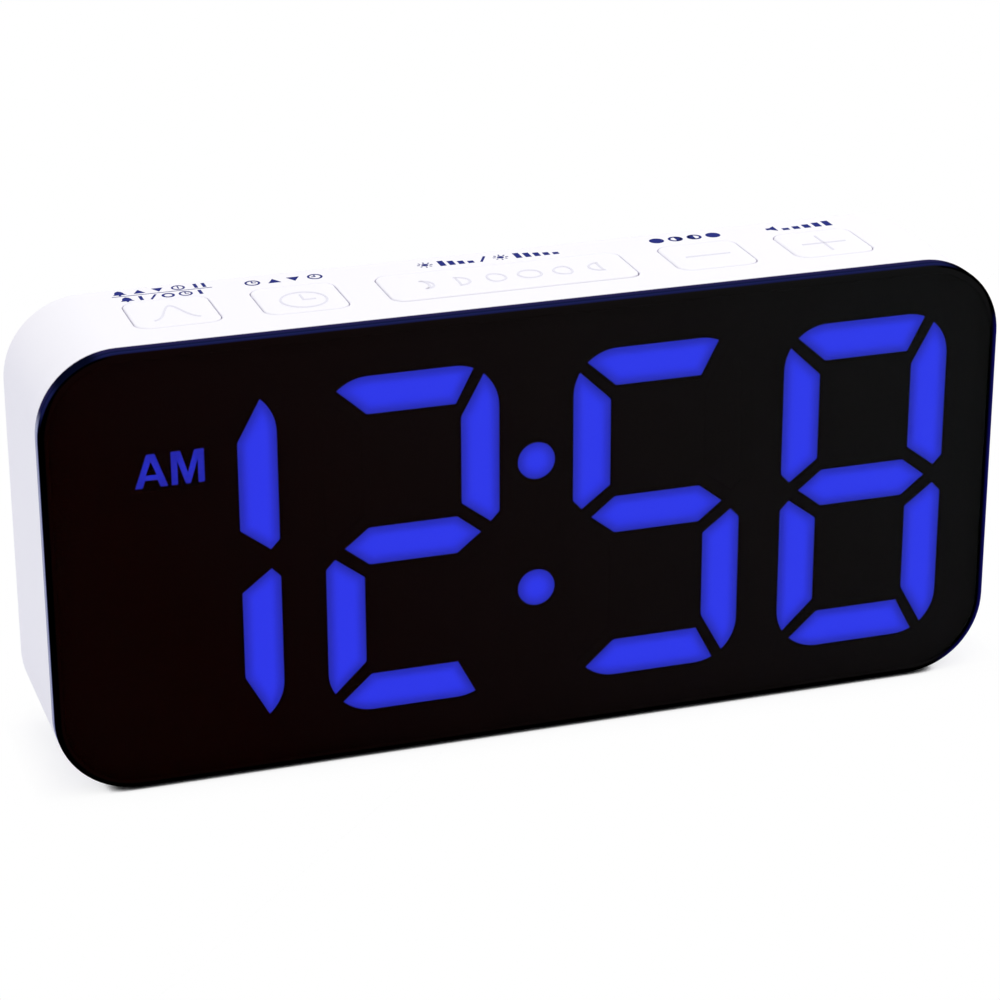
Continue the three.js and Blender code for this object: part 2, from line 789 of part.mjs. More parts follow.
// The shell: a rounded tube with a rim at the front, posts for the rear cover, bosses for the key board,
// holes for the keys and pockets for the feet.
function makeShell() {
  const lining = (inset) =>
    roundedRect(bodyWidth - 2 * inset, bodyHeight - 2 * inset, bodyCorner - inset, 0, bodyHeight / 2);
  const outer = roundedEnd(bodyOutline, shellFront, back, rearRounding, "high", "y");
  const hollow = alongY(lining(wall), rimBack, back + through);
  const opening = alongY(lining(rimWidth), shellFront - through, rimBack + through);

  const posts = postPlaces.map((corner) => cornerPost(corner, 0, rimBack - bite, postBack));
  const pilotFront = back - screwSink - screwHeadHeight - screwLength - through;
  const pilots = postPlaces.map(({ x, z }) =>
    rodAlongY(screwRadius + fitGap, pilotFront, back, x, z, thinSides),
  );
  const bossBottom = keyBoardTop + fitGap;
  const bosses = [-outerBossAt, -innerBossAt, innerBossAt, outerBossAt].map((x) =>
    rodAlongZ(bossRadius, bossBottom, wallUnderside + wall / 2, x, keyLine),
  );
  const bossPilots = [-innerBossAt, innerBossAt].map((x) =>
    rodAlongZ(smallScrewRadius + fitGap, bossBottom - through, wallUnderside, x, keyLine, thinSides),
  );
  const keyHoles = keys.map(({ x, width }) => {
    const hole = roundedRect(width + 2 * fitGap, keyDepth + 2 * fitGap, keyCorner + fitGap, x, keyLine);
    return alongZ(hole, wallUnderside - through, bodyHeight + through, smallSteps);
  });
  const pockets = footPlaces.map(({ x, y }) =>
    alongZ(footOutline(fitGap, x, y), -through, footSunk + filmGap, smallSteps),
  );
  const insides = joined([...posts, ...bosses]).intersect(alongY(bodyOutline, shellFront, back));
  const cuts = joined([...pilots, ...bossPilots, ...keyHoles, ...pockets]);
  place("shell", outer.subtract(hollow).subtract(opening).add(insides).subtract(cuts), whitePlastic);
}

// Rear cover with its battery compartment, speaker cup, vents and holes

const cavityWidth = nubLength + cellLength + 2 * contactSpace;
const cavityHeight = 4 * cellRadius + 6 * fitGap;
const doorWidth = cavityWidth + 2 * doorLedge;
const doorHeight = cavityHeight + 2 * doorLedge;
const hingeUp = compartmentUp + doorHeight / 2 - doorThickness / 2;
const hingeBack = back - doorThickness / 2;
const standoffPlaces = [
  {
    x: mainBoardAt - mainBoardWidth / 2 + standoffInset,
    z: mainBoardTop - standoffInset,
  },
  {
    x: mainBoardAt + mainBoardWidth / 2 - standoffInset,
    z: mainBoardTop - mainBoardHeight + standoffInset,
  },
];

// The compartment's outline, grown outwards from the door's.
function compartmentOutline(grow) {
  return roundedRect(doorWidth + 2 * grow, doorHeight + 2 * grow, 1, compartmentAt, compartmentUp);
}

function grillePlaces() {
  const places = [{ x: speakerAt, z: speakerUp }];
  for (let ring = 1; ring <= grilleRings; ring++) {
    for (let k = 0; k < 6 * ring; k++) {
      const angle = (k / (6 * ring)) * Math.PI * 2;
      const reach = ring * grillePitch;
      places.push({ x: speakerAt + reach * Math.cos(angle), z: speakerUp + reach * Math.sin(angle) });
    }
  }
  return places;
}

function coverHoles() {
  const from = coverFront - through;
  const to = back + through;
  const screwHoles = postPlaces.flatMap(({ x, z }) => [
    rodAlongY(screwRadius + fitGap, from, to, x, z, thinSides),
    rodAlongY(screwHeadRadius + fitGap, back - screwSink - screwHeadHeight - filmGap, to, x, z),
  ]);
  const grille = grillePlaces().map(({ x, z }) => rodAlongY(grilleHoleRadius, from, to, x, z, 8));
  const vents = Array.from({ length: ventCount }, (_, k) => {
    const x = (k - (ventCount - 1) / 2) * ventPitch;
    return alongY(roundedRect(ventWidth, ventHeight, ventWidth * 0.45, x, ventUp), from, to, 2);
  });
  const inletHole = rodAlongY(noseRadius + fitGap, from, to, inletAt, inletUp);
  const cupRadius = speakerRadius + fitGap;
  const cupBore = rodAlongY(cupRadius, from - cupDepth, coverFront, speakerAt, speakerUp, wideSides);
  return [...screwHoles, ...grille, ...vents, inletHole, cupBore];
}

function compartmentCuts() {
  const doorRecess = alongY(compartmentOutline(fitGap), ledgeBack, back + through, smallSteps);
  const cellRoom = box(
    cavityWidth,
    cavityDepth + through,
    cavityHeight,
    compartmentAt,
    cavityFront + (cavityDepth + through) / 2,
    compartmentUp,
  );
  const pinReach = doorWidth / 2 + hingePinLength + fitGap;
  const [pinFrom, pinTo] = [compartmentAt - pinReach, compartmentAt + pinReach];
  const pinBores = rodAlongX(hingePinRadius + pinGap, pinFrom, pinTo, hingeBack, hingeUp, thinSides);
  const nailNotch = box(
    nailNotchWidth,
    nailNotchDepth * 2,
    nailNotchHeight * 2,
    compartmentAt,
    back,
    compartmentUp - doorHeight / 2,
  );
  return [doorRecess, cellRoom, pinBores, nailNotch];
}

function makeRearCover() {
  const inset = wall + fitGap;
  const outline = roundedRect(bodyWidth - 2 * inset, bodyHeight - 2 * inset, coverCorner, 0, bodyHeight / 2);
  const plate = alongY(outline, coverFront, back);
  const tub = alongY(
    compartmentOutline(fitGap + compartmentWall),
    cavityFront - compartmentWall,
    coverFront + bite,
    smallSteps,
  );
  const cupRadius = speakerRadius + fitGap + cupWall;
  const cupFront = coverFront - cupDepth;
  const cup = rodAlongY(cupRadius, cupFront, coverFront + bite, speakerAt, speakerUp, wideSides);
  const standoffFront = mainBoardBack + filmGap;
  const standoffs = standoffPlaces.map(({ x, z }) =>
    rodAlongY(standoffRadius, standoffFront, coverFront + bite, x, z),
  );
  const pilots = standoffPlaces.map(({ x, z }) =>
    rodAlongY(smallScrewRadius + fitGap, mainBoardBack, mainBoardBack + smallScrewLength, x, z, thinSides),
  );
  const solids = joined([plate, tub, cup, ...standoffs]);
  const cuts = joined([...coverHoles(), ...compartmentCuts(), ...pilots]);
  place("rear_cover", solids.subtract(cuts), whitePlastic);
}

function makeCoverScrews() {
  const made = geometryOf(screw(screwHeadRadius, screwRadius, screwLength)).rotateX(Math.PI / 2);
  postPlaces.forEach(({ x, z }, i) => {
    place(`cover_screw_${i + 1}`, made, steel, x, back - screwSink, z);
  });
}

// The door lies flush in its recess and turns on two pins at its upper, rounded edge.
function makeDoor() {
  const rounding = doorThickness / 2;
  const drop = doorHeight - rounding;
  const panel = box(doorWidth, doorThickness, drop, 0, 0, -drop / 2);
  const edge = rodAlongX(rounding, -doorWidth / 2, doorWidth / 2);
  const pinReach = doorWidth / 2 + hingePinLength;
  const pins = rodAlongX(hingePinRadius, -pinReach, pinReach, 0, 0, thinSides);
  const grips = Array.from({ length: gripCount }, (_, k) =>
    box(nailNotchWidth, gripWidth, gripWidth, 0, rounding, (k + 1) * gripPitch - drop),
  );
  const door = joined([panel, edge, pins]).subtract(joined(grips));
  place("battery_door", door, whitePlastic, compartmentAt, hingeBack, hingeUp);
}

// Two cells head to tail, a bridge across one pair of ends and a terminal for each at the other.
function makeBatteries() {
  const half = (nubLength + cellLength) / 2;
  const can = rodAlongX(cellRadius, -half, half - nubLength);
  const cell = can.add(rodAlongX(nubRadius, half - nubLength - bite, half));
  const cellBack = ledgeBack - 1.5 * fitGap - cellRadius;
  const pitch = 2 * (cellRadius + fitGap);
  const rows = [-1, 1].map((side) => compartmentUp + (side * pitch) / 2);
  rows.forEach((z, i) => {
    const mesh = place(`cell_${i + 1}`, cell, cellBlue, compartmentAt, cellBack, z);
    mesh.rotation.z = i * Math.PI;
  });

  const wallAt = cavityWidth / 2 - 2 * filmGap;
  const tipAt = half + fitGap;
  const t = contactThickness;
  const plateOf = (height, side) =>
    box(t, 2 * (cellRadius - through), height, side * (wallAt - t / 2));
  const bow = (side, z) => {
    const foot = side * (wallAt - t / 2);
    const tip = side * tipAt;
    const outline = polygon([
      [foot, bowSpan / 2],
      [tip, t],
      [tip, -t],
      [foot, -bowSpan / 2],
      [foot, 2 * t - bowSpan / 2],
      [tip + side * t, 0],
      [foot, bowSpan / 2 - 2 * t],
    ]);
    return alongZ(outline, z - bowHeight / 2, z + bowHeight / 2);
  };
  const bows = [-1, 1].map((side) => bow(-1, (side * pitch) / 2));
  const bridge = joined([plateOf(pitch + cellRadius, -1), ...bows]);
  place("cell_bridge", bridge, steel, compartmentAt, cellBack, compartmentUp);
  rows.forEach((z, i) => {
    const terminal = plateOf(bowHeight + 2 * through, 1).add(bow(1, 0));
    place(`cell_terminal_${i + 1}`, terminal, steel, compartmentAt, cellBack, z);
  });
}

// A lathe profile of [radius, level] points, turned about Y.
function turned(profile) {
  const points = profile.map(([radius, level]) => new THREE.Vector2(radius, level));
  return solid(new THREE.LatheGeometry(points, wideSides));
}

function makeSpeaker() {
  const face = coverFront - 2 * filmGap;
  const seat = coneRadius + 2 * fitGap;
  const neck = magnetRadius - 2;
  const basket = turned([
    [neck, -speakerDepth],
    [magnetRadius, -speakerDepth],
    [speakerRadius - 2, -speakerRim],
    [speakerRadius, -speakerRim],
    [speakerRadius, 0],
    [seat, 0],
    [seat, -speakerRim],
    [neck, basketThickness - speakerDepth],
    [neck, -speakerDepth],
  ]);
  place("speaker_basket", basket, steel, speakerAt, face, speakerUp);

  const capRadius = coneRadius / 3;
  const cone = turned([
    [0, -coneDepth],
    [capRadius, -coneDepth - coneThickness],
    [coneRadius - coneRim, -2 * coneThickness],
    [coneRadius, -2 * coneThickness],
    [coneRadius, -coneThickness],
    [coneRadius - coneRim, -coneThickness],
    [capRadius, -coneDepth],
    [0, coneThickness - coneDepth],
  ]);
  place("speaker_cone", cone, coneBlack, speakerAt, face, speakerUp);
  const magnetBack = face - speakerDepth - filmGap;
  const magnet = rodAlongY(magnetRadius, magnetBack - magnetDepth, magnetBack, 0, 0, wideSides);
  place("speaker_magnet", magnet, magnetGrey, speakerAt, 0, speakerUp);
}

function makeInlet() {
  const noseBase = coverFront - fitGap;
  const noseTip = noseBase + noseLength;
  const housingFront = mainBoardBack + fitGap;
  const middle = (noseBase + housingFront) / 2;
  const housing = box(inletWidth, noseBase - housingFront, inletHeight, 0, middle, 0);
  const nose = rodAlongY(noseRadius, noseBase - bite, noseTip);
  const socketEnd = noseTip - socketDepth;
  const socket = rodAlongY(socketRadius, socketEnd, noseTip + through);
  place("power_inlet", housing.add(nose).subtract(socket), switchBlack, inletAt, 0, inletUp);
  const pin = rodAlongY(inletPinRadius, socketEnd + filmGap, noseTip - through, 0, 0, thinSides);
  place("inlet_pin", pin, steel, inletAt, 0, inletUp);
}

// Main board, its controller, and the headers that join it to the other two boards

function makeMainBoard() {
  const outline = roundedRect(mainBoardWidth, mainBoardHeight, 1, mainBoardAt, mainBoardUp);
  const holes = standoffPlaces.map(({ x, z }) =>
    rodAlongY(smallScrewRadius + fitGap, mainBoardFront - through, mainBoardBack + through, x, z, thinSides),
  );
  const board = alongY(outline, mainBoardFront, mainBoardBack, smallSteps).subtract(joined(holes));
  place("main_board", board, greenBoard);

  const chip = box(chipSize, chipHeight, chipSize, 0, chipHeight / 2, 0);
  const onBoard = mainBoardBack + filmGap;
  place("controller_chip", chip, switchBlack, mainBoardAt + chipAcross, onBoard, mainBoardUp + chipRise);

  const between = (mainBoardFront + displayBoardBack) / 2;
  const header = box(headerWidth, mainBoardFront - displayBoardBack - 2 * filmGap, headerHeight);
  place("board_header", header, switchBlack, mainBoardAt, between, mainBoardUp - headerDrop);

  const headerTop = keyBoardBottom - filmGap;
  const headerBottom = mainBoardTop - keyHeaderDepth;
  const height = headerTop - headerBottom;
  const keyHeader = box(keyHeaderWidth, keyHeaderDepth, height, 0, keyHeaderDepth / 2, height / 2);
  place("key_header", keyHeader, switchBlack, mainBoardAt + keyHeaderAcross, onBoard, headerBottom);

  const made = geometryOf(screw(smallHeadRadius, smallScrewRadius, smallScrewLength)).rotateX(-Math.PI / 2);
  standoffPlaces.forEach(({ x, z }, i) => {
    place(`board_screw_${i + 1}`, made, steel, x, mainBoardFront - filmGap - screwHeadHeight, z);
  });
}

// The speaker's lead, from the rim of its basket to the main board.
function makeSpeakerLead() {
  const boardEdge = mainBoardAt + mainBoardWidth / 2;
  const rimFront = coverFront - 2 * filmGap - speakerRim;
  const start = new THREE.Vector3(speakerAt - speakerRadius + leadRadius, rimFront - 2 * filmGap, speakerUp);
  const end = new THREE.Vector3(boardEdge - leadInset, mainBoardBack + 2 * filmGap, speakerUp + leadClimb);
  const rise = new THREE.Vector3(0, leadRise, 0);
  const route = new THREE.CatmullRomCurve3([
    start,
    start.clone().sub(rise),
    start.clone().lerp(end, 0.5),
    end.clone().add(rise),
    end,
  ]);
  const section = new THREE.Shape().absarc(0, 0, leadRadius, 0, Math.PI * 2);
  const tube = new THREE.ExtrudeGeometry(section, { steps: 14, extrudePath: route, curveSegments: 4 });
  place("speaker_lead", solid(tube), leadRed);
}

makeShell();
makeLens();
makeMask();
makeDiffusers();
makeReflector();
makeDisplayBoard();
keys.forEach(makeKey);
makeKeyBoard();
makeMainBoard();
makeRearCover();
makeCoverScrews();
makeDoor();
makeBatteries();
makeSpeaker();
makeSpeakerLead();
makeInlet();
makeFeet();

export default clock;
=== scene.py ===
"""Looks of a digital alarm clock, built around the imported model.

Shapes are worked out in millimetres, in the model's own frame: X across the clock, Y from its front
to its back, Z up. Meshes are scaled to metres when they are finished.
"""

import json
import math

import bmesh
import bpy
from bpy.props import FloatProperty, FloatVectorProperty, IntProperty, PointerProperty
from mathutils import Matrix, Vector
from mathutils.geometry import delaunay_2d_cdt, intersect_point_line


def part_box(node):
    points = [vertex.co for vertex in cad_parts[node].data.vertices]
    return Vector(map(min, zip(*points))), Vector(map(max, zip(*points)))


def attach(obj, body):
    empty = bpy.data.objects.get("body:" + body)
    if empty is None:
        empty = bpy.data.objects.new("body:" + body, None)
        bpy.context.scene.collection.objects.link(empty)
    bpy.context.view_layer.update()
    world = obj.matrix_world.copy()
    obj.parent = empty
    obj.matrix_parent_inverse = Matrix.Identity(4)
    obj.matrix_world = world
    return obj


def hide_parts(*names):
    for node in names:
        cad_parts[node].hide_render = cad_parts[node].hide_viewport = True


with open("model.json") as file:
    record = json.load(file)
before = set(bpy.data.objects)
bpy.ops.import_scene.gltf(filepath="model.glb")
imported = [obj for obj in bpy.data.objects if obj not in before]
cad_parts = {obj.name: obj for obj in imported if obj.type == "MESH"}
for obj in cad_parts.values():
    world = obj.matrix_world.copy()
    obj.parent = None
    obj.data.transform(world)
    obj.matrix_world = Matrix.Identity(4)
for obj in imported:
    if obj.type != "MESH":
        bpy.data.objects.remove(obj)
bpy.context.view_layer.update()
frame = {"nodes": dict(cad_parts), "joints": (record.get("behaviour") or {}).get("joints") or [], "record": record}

bl_info = {
    "name": "Digital alarm clock",
    "version": (1, 0, 0),
    "blender": (4, 5, 0),
    "location": "3D Viewport > Sidebar > Clock",
    "description": "Casing, display, keys, rear, insides and stage of a digital alarm clock",
    "category": "Object",
}

MM = 0.001
KEYS = ("alarm", "time", "snooze", "minus", "plus")
FEET = ("foot_1", "foot_2", "foot_3", "foot_4")
COVER_SCREWS = ("cover_screw_1", "cover_screw_2", "cover_screw_3", "cover_screw_4")


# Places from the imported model


def node_box(node):
    """Lowest and highest corner of a node of the model, in millimetres."""
    low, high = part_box(node)
    return low / MM, high / MM


def node_middle(node):
    low, high = node_box(node)
    return (low + high) / 2


def half_width(node):
    low, high = node_box(node)
    return (high.x - low.x) / 2


shell_low, shell_high = node_box("shell")
lens_low, lens_high = node_box("front_lens")
mask_low, mask_high = node_box("display_mask")
cover_low, cover_high = node_box("rear_cover")

# Sizes that the boxes don't give
body_corner = 17.6
wall = 2.4
rim_width = 6.0
rim_thickness = 2.0
fit_gap = 0.3
film_gap = 0.05
bite = 0.5

key_corner = 3.0
key_lip = 1.5
key_lip_thickness = 1.2
stem_radius = 2.2
print_line = 14.6

plate_margin = 1.5
plate_thickness = 1.0
segment_stroke = 8.6
segment_gap = 2.15
figure_width = 39.0
figure_height = 77.2
figure_corner = 10.0

cover_pilot = 1.55
board_pilot = 1.2
boss_radius = 2.4
hinge_pin_reach = 1.2
screw_head_thickness = 1.2


# Settings that a user would change


def amount(name, description, default):
    """A length in millimetres, or a level of light."""
    return FloatProperty(name=name, description=description, default=default, min=0.0)


def colour(name, description, default):
    return FloatVectorProperty(
        name=name,
        description=description,
        default=default,
        subtype="COLOR",
        size=3,
        min=0.0,
        max=4.0,
    )


class ClockCasingSettings(bpy.types.PropertyGroup):
    """Shell, rear cover and battery door."""

    arc_steps: IntProperty(
        name="Corner steps", description="Steps in each rounded corner", default=18, min=3
    )
    rear_rounding: amount("Rear rounding", "Rounding of the shell's rear edge, in mm", 1.5)
    seam_rounding: amount("Seam rounding", "Rounding of the edges along seams, in mm", 0.18)
    front_gap: amount("Front gap", "Further gap in front of the wide key, in mm", 0.3)
    hole_rounding: amount("Hole rounding", "Rounding of the edges of holes, in mm", 0.3)
    plastic: colour("Casing colour", "Colour of the moulded casing", (0.904, 0.892, 0.945))
    # The seam colour is a painted shade line along the casing's front edge, beside the lens
    seam: colour("Seam colour", "Colour of the casing's front edge", (0.5, 0.48, 0.56))
    # The crevice colour is painted shade on the casing and keys in narrow gaps and corners
    shade: colour("Crevice colour", "Colour of casing and keys in narrow gaps", (0.84, 0.82, 0.91))
    feet: colour("Foot colour", "Colour of the rubber feet", (0.27, 0.28, 0.3))


class ClockKeySettings(bpy.types.PropertyGroup):
    """The five push keys and their raised marks."""

    gap: amount("Gap", "Gap between a key and its hole, in mm", 0.19)
    rounding: amount("Edge rounding", "Rounding of a key's upper edge, in mm", 0.5)
    pillow: amount("Pillow width", "Width of the soft slope inside a key's edge, in mm", 1.7)
    mark_width: amount("Mark width", "Width of a raised mark, in mm", 0.62)
    mark_height: amount("Mark height", "Height of a raised mark, in mm", 0.14)
    plastic: colour("Key colour", "Colour of the keys", (0.907, 0.895, 0.947))
    mark: colour("Mark colour", "Colour of the raised marks", (0.76, 0.752, 0.84))
    ink: colour("Ink colour", "Colour of the printed marks", (0.026, 0.034, 0.2))
    ink_height: amount("Ink height", "Thickness of the printed ink, in mm", 0.03)


class ClockDisplaySettings(bpy.types.PropertyGroup):
    """Front lens, mask and lit figures."""

    bevel: amount("Lens bevel", "Rounding of the lens's front edge, in mm", 1.1)
    # The dark border is painted shade: black next to the bevel, then the face's own colour
    border: amount("Lens border", "Width of the dark border inside the bevel, in mm", 0.85)
    pad_gap: amount("Pad gap", "Gap between a lit pad and its window, in mm", 0.06)
    glow_width: amount("Rim width", "Width of the darker rim of a lit pad, in mm", 2.6)
    glow_step: amount("Grid step", "Step between the points of a lit pad, in mm", 0.6)
    rim: colour("Rim glow", "Light of a lit pad at its rim", (0.033, 0.0475, 0.87))
    centre: colour("Centre glow", "Light of a lit pad at its middle", (0.0495, 0.079, 1.69))
    letters: colour("Letter glow", "Light of a letter's ends", (0.0275, 0.0375, 0.745))
    letter_middle: colour("Letter middle", "Light of a letter's middle", (0.036, 0.053, 1.08))
    letter_glow: amount("Letter reach", "Reach of the brighter middle of a letter, in mm", 4.6)
    # The drift from warm at the lower left to neutral at the upper right is a painted reflection on the smoked
    # lens
    smoke_and_reflection_left: colour("Smoke at the left", "Tint at the lower left", (0.0084, 0.00052, 0.00026))
    smoke_and_reflection_right: colour("Smoke at the right", "Tint at the upper right", (0.0134, 0.0143, 0.0145))
    face_and_reflection_left: colour("Face at the left", "Lens over mask at the left", (0.0044, 0.0009, 0.0008))
    face_and_reflection_right: colour("Face at the right", "Lens over mask at the right", (0.0066, 0.0066, 0.0066))


class ClockStageSettings(bpy.types.PropertyGroup):
    """Floor, light and camera."""

    sky: amount("Sky", "Level of the even light from all sides", 0.825)
    sky_colour: colour("Sky colour", "Colour of the even light", (0.945, 0.95, 1.0))
    key_light: amount("Key light", "Light on a surface that faces the key lamp", 0.3)
    key_colour: colour("Key colour", "Colour of the key lamp", (1.0, 0.975, 0.82))
    fill_light: amount("Fill light", "Light on a surface that faces the fill lamp", 0.08)
    floor: colour("Floor colour", "Colour of the floor", (0.87, 0.875, 0.91))
    focal_length: FloatProperty(
        name="Focal length",
        description="Focal length on a 36 mm sensor",
        default=116.41,
        unit="CAMERA",
    )


# Outlines: lists of points across two directions of the frame


def arc(radius, start, end, steps, u=0.0, v=0.0):
    """Points on an arc, with angles in degrees, both ends included."""
    points = []
    for k in range(steps + 1):
        angle = math.radians(start + (end - start) * k / steps)
        points.append((u + radius * math.cos(angle), v + radius * math.sin(angle)))
    return points


def circle(radius, u, v, steps):
    return arc(radius, 0, 360, steps, u, v)[:-1]


def rounded_rect(width, height, radius, u, v, steps):
    across = width / 2 - radius
    up = height / 2 - radius
    points = []
    for quarter, (side, end) in enumerate(((1, 1), (-1, 1), (-1, -1), (1, -1))):
        start = 90 * quarter
        points += arc(radius, start, start + 90, steps, u + side * across, v + end * up)
    return points


def box_outline(low, high, radius, grow=0.0, steps=8, up="z"):
    """Rounded outline of a box, grown on all sides, as seen along Y or from above (up="y")."""
    bottom, top = getattr(low, up), getattr(high, up)
    width = high.x - low.x + 2 * grow
    height = top - bottom + 2 * grow
    return rounded_rect(width, height, radius, (low.x + high.x) / 2, (bottom + top) / 2, steps)


def rect(u_from, u_to, v_from, v_to):
    return [(u_from, v_from), (u_to, v_from), (u_to, v_to), (u_from, v_to)]


def moved(outline, u, v):
    return [(pu + u, pv + v) for pu, pv in outline]


def drawn_in(outline, distance):
    """A convex outline that turns left, drawn in by a distance; a negative distance grows it."""
    points = [Vector(p) for p in outline]
    result = []
    for i, point in enumerate(points):
        along = (point - points[i - 1]).normalized()
        onwards = (points[(i + 1) % len(points)] - point).normalized()
        first = Vector((-along.y, along.x))
        second = Vector((-onwards.y, onwards.x))
        middle = first + second
        result.append(tuple(point + middle * (2 * distance / middle.length_squared)))
    return result


def left_turning(outline):
    """The outline, in the order that turns left."""
    area = sum(a[0] * b[1] - b[0] * a[1] for a, b in zip(outline, outline[1:] + outline[:1]))
    return outline if area > 0 else outline[::-1]


def is_inside(outline, u, v):
    """True for a point inside an outline."""
    found = False
    for (au, av), (bu, bv) in zip(outline, outline[1:] + outline[:1]):
        if (av > v) != (bv > v) and u < (bu - au) * (v - av) / (bv - av) + au:
            found = not found
    return found


def across_x(outline, level):
    return [(level, u, v) for u, v in outline]


def across_y(outline, level):
    return [(u, level, v) for u, v in outline]


def across_z(outline, level):
    return [(u, v, level) for u, v in outline]


def rounded_edge(radius, end, way, steps):
    """Layers of a rounded edge, from the side wall to the end face: (drawn-in distance, level)."""
    layers = []
    for k in range(steps + 1):
        angle = math.pi / 2 * k / steps
        inset = radius * (1 - math.cos(angle))
        layers.append((inset, end - way * radius * (1 - math.sin(angle))))
    return layers


def flared_edge(radius, end, way, grow=0.0):
    """Layers of a cutter whose hole has a rounded edge at the face that it opens."""
    steps = 5
    layers = [(-grow - inset, level) for inset, level in rounded_edge(radius, end, way, steps)]
    return layers + [(-grow - radius, end + way)]


# Forms: points and faces, gathered in millimetres


class Form:
    """Closed shapes of one mesh. Each face keeps the number of its material, and each point
    how far in from the rim it is, from 0 to 1."""

    def __init__(self):
        self.points = []
        self.faces = []
        self.looks = []
        self.inward = []

    def add(self, points, faces, look, inward):
        start = len(self.points)
        self.points += [tuple(p) for p in points]
        self.inward += [inward] * len(points) if isinstance(inward, float) else list(inward)
        self.faces += [tuple(start + i for i in face) for face in faces]
        self.looks += [look] * len(faces)
        return self

    def loft(self, rings, look=0, closed=False, inward=None):
        """Skin over rings of the same number of points. Open lofts get a face at each end."""
        count = len(rings[0])
        points = [p for ring in rings for p in ring]
        faces = []
        spans = len(rings) if closed else len(rings) - 1
        for r in range(spans):
            here = r * count
            there = ((r + 1) % len(rings)) * count
            for k in range(count):
                n = (k + 1) % count
                faces.append((here + k, here + n, there + n, there + k))
        if not closed:
            faces.append(tuple(range(count - 1, -1, -1)))
            faces.append(tuple(range(len(points) - count, len(points))))
        values = 0.0 if inward is None else [value for value in inward for _ in range(count)]
        return self.add(points, faces, look, values)

    def layered(self, outline, layers, plane, look=0, closed=False, inward=None):
        """Loft of one convex outline, whose layers are (drawn-in distance, level)."""
        turned_left = left_turning(outline)
        rings = [plane(drawn_in(turned_left, inset), level) for inset, level in layers]
        return self.loft(rings, look, closed, inward)

    def prism(self, outline, start, end, plane, look=0):
        return self.loft([plane(outline, start), plane(outline, end)], look)

    def plate(self, outline, holes, start, end, plane, look=0, side_look=0, inner=(), inward=None):
        """A flat plate of any outline, with holes. Its start can have more points inside, whose
        inward value is worked out by a function."""
        loops = [outline, *holes]
        flat = [Vector(p) for loop in loops for p in loop] + [Vector(p) for p in inner]
        edges = []
        first = 0
        for loop in loops:
            edges += [(first + k, first + (k + 1) % len(loop)) for k in range(len(loop))]
            first += len(loop)
        inside_only, merge_distance = 1, 1e-7
        found = delaunay_2d_cdt(flat, edges, [], inside_only, merge_distance)
        corners = [tuple(p) for p in found[0]]
        kept = []
        for face in found[2]:
            u = sum(corners[i][0] for i in face) / len(face)
            v = sum(corners[i][1] for i in face) / len(face)
            if is_inside(outline, u, v) and not any(is_inside(hole, u, v) for hole in holes):
                kept.append(tuple(face))
        count = len(corners)
        points = plane(corners, start) + plane(corners, end)
        faces = kept + [tuple(count + i for i in reversed(face)) for face in kept]
        values = [inward(u, v) for u, v in corners] + [0.0] * count if inward else 0.0
        self.add(points, faces, look, values)
        used = {(a, b) for face in kept for a, b in zip(face, face[1:] + face[:1])}
        sides = [(a, b, count + b, count + a) for a, b in used if (b, a) not in used]
        first = len(self.points) - 2 * count
        self.faces += [tuple(first + i for i in side) for side in sides]
        self.looks += [side_look] * len(sides)
        return self

    def ridge(self, path, width, start, end, plane, closed, shoulder=0.0):
        """A raised line along a path, narrower by the shoulder at its top."""
        mitre_limit = 0.4
        flat = [Vector(p) for p in path]
        count = len(flat)
        rings = []
        for i, point in enumerate(flat):
            before = flat[i - 1] if closed or i > 0 else point
            after = flat[(i + 1) % count] if closed or i < count - 1 else point
            along = (point - before).normalized() if before != point else None
            onwards = (after - point).normalized() if after != point else None
            along = along or onwards
            onwards = onwards or along
            side = Vector((-along.y - onwards.y, along.x + onwards.x))
            side = side * (1.0 / max(side.length_squared / 2, mitre_limit))
            low, high = width / 2, width / 2 - shoulder
            corners = ((-low, start), (-high, end), (high, end), (low, start))
            rings.append([plane([tuple(point + side * w)], z)[0] for w, z in corners])
        return self.loft(rings, closed=closed)

    def rod(self, radius, start, end, plane, u, v, steps=24):
        return self.prism(circle(radius, u, v, steps), start, end, plane)

    def turned(self, profile, plane, u, v, steps=40):
        """Rings round a line, from a profile of (radius, level)."""
        return self.loft([plane(circle(radius, u, v, steps), level) for radius, level in profile])

    def object(self, name="form"):
        """The form as an object whose mesh is still in millimetres."""
        mesh = bpy.data.meshes.new(name)
        mesh.from_pydata(self.points, [], self.faces)
        mesh.polygons.foreach_set("material_index", self.looks)
        if any(self.inward):
            mesh.attributes.new("inward", "FLOAT", "POINT").data.foreach_set("value", self.inward)
        work = bmesh.new()
        work.from_mesh(mesh)
        bmesh.ops.recalc_face_normals(work, faces=work.faces)
        work.to_mesh(mesh)
        work.free()
        thing = bpy.data.objects.new(name, mesh)
        bpy.context.scene.collection.objects.link(thing)
        return thing


def combine(base, form, operation):
    """Joins a form to the base object, or cuts it from it."""
    tool = form.object()
    modifier = base.modifiers.new("combine", "BOOLEAN")
    modifier.operation = operation
    modifier.solver = "EXACT"
    modifier.use_self = True
    modifier.object = tool
    graph = bpy.context.evaluated_depsgraph_get()
    made = bpy.data.meshes.new_from_object(base.evaluated_get(graph))
    base.modifiers.clear()
    base.data = made
    bpy.data.objects.remove(tool)
    if not made.polygons:
        raise RuntimeError(f"{base.name}: nothing is left after {operation}")


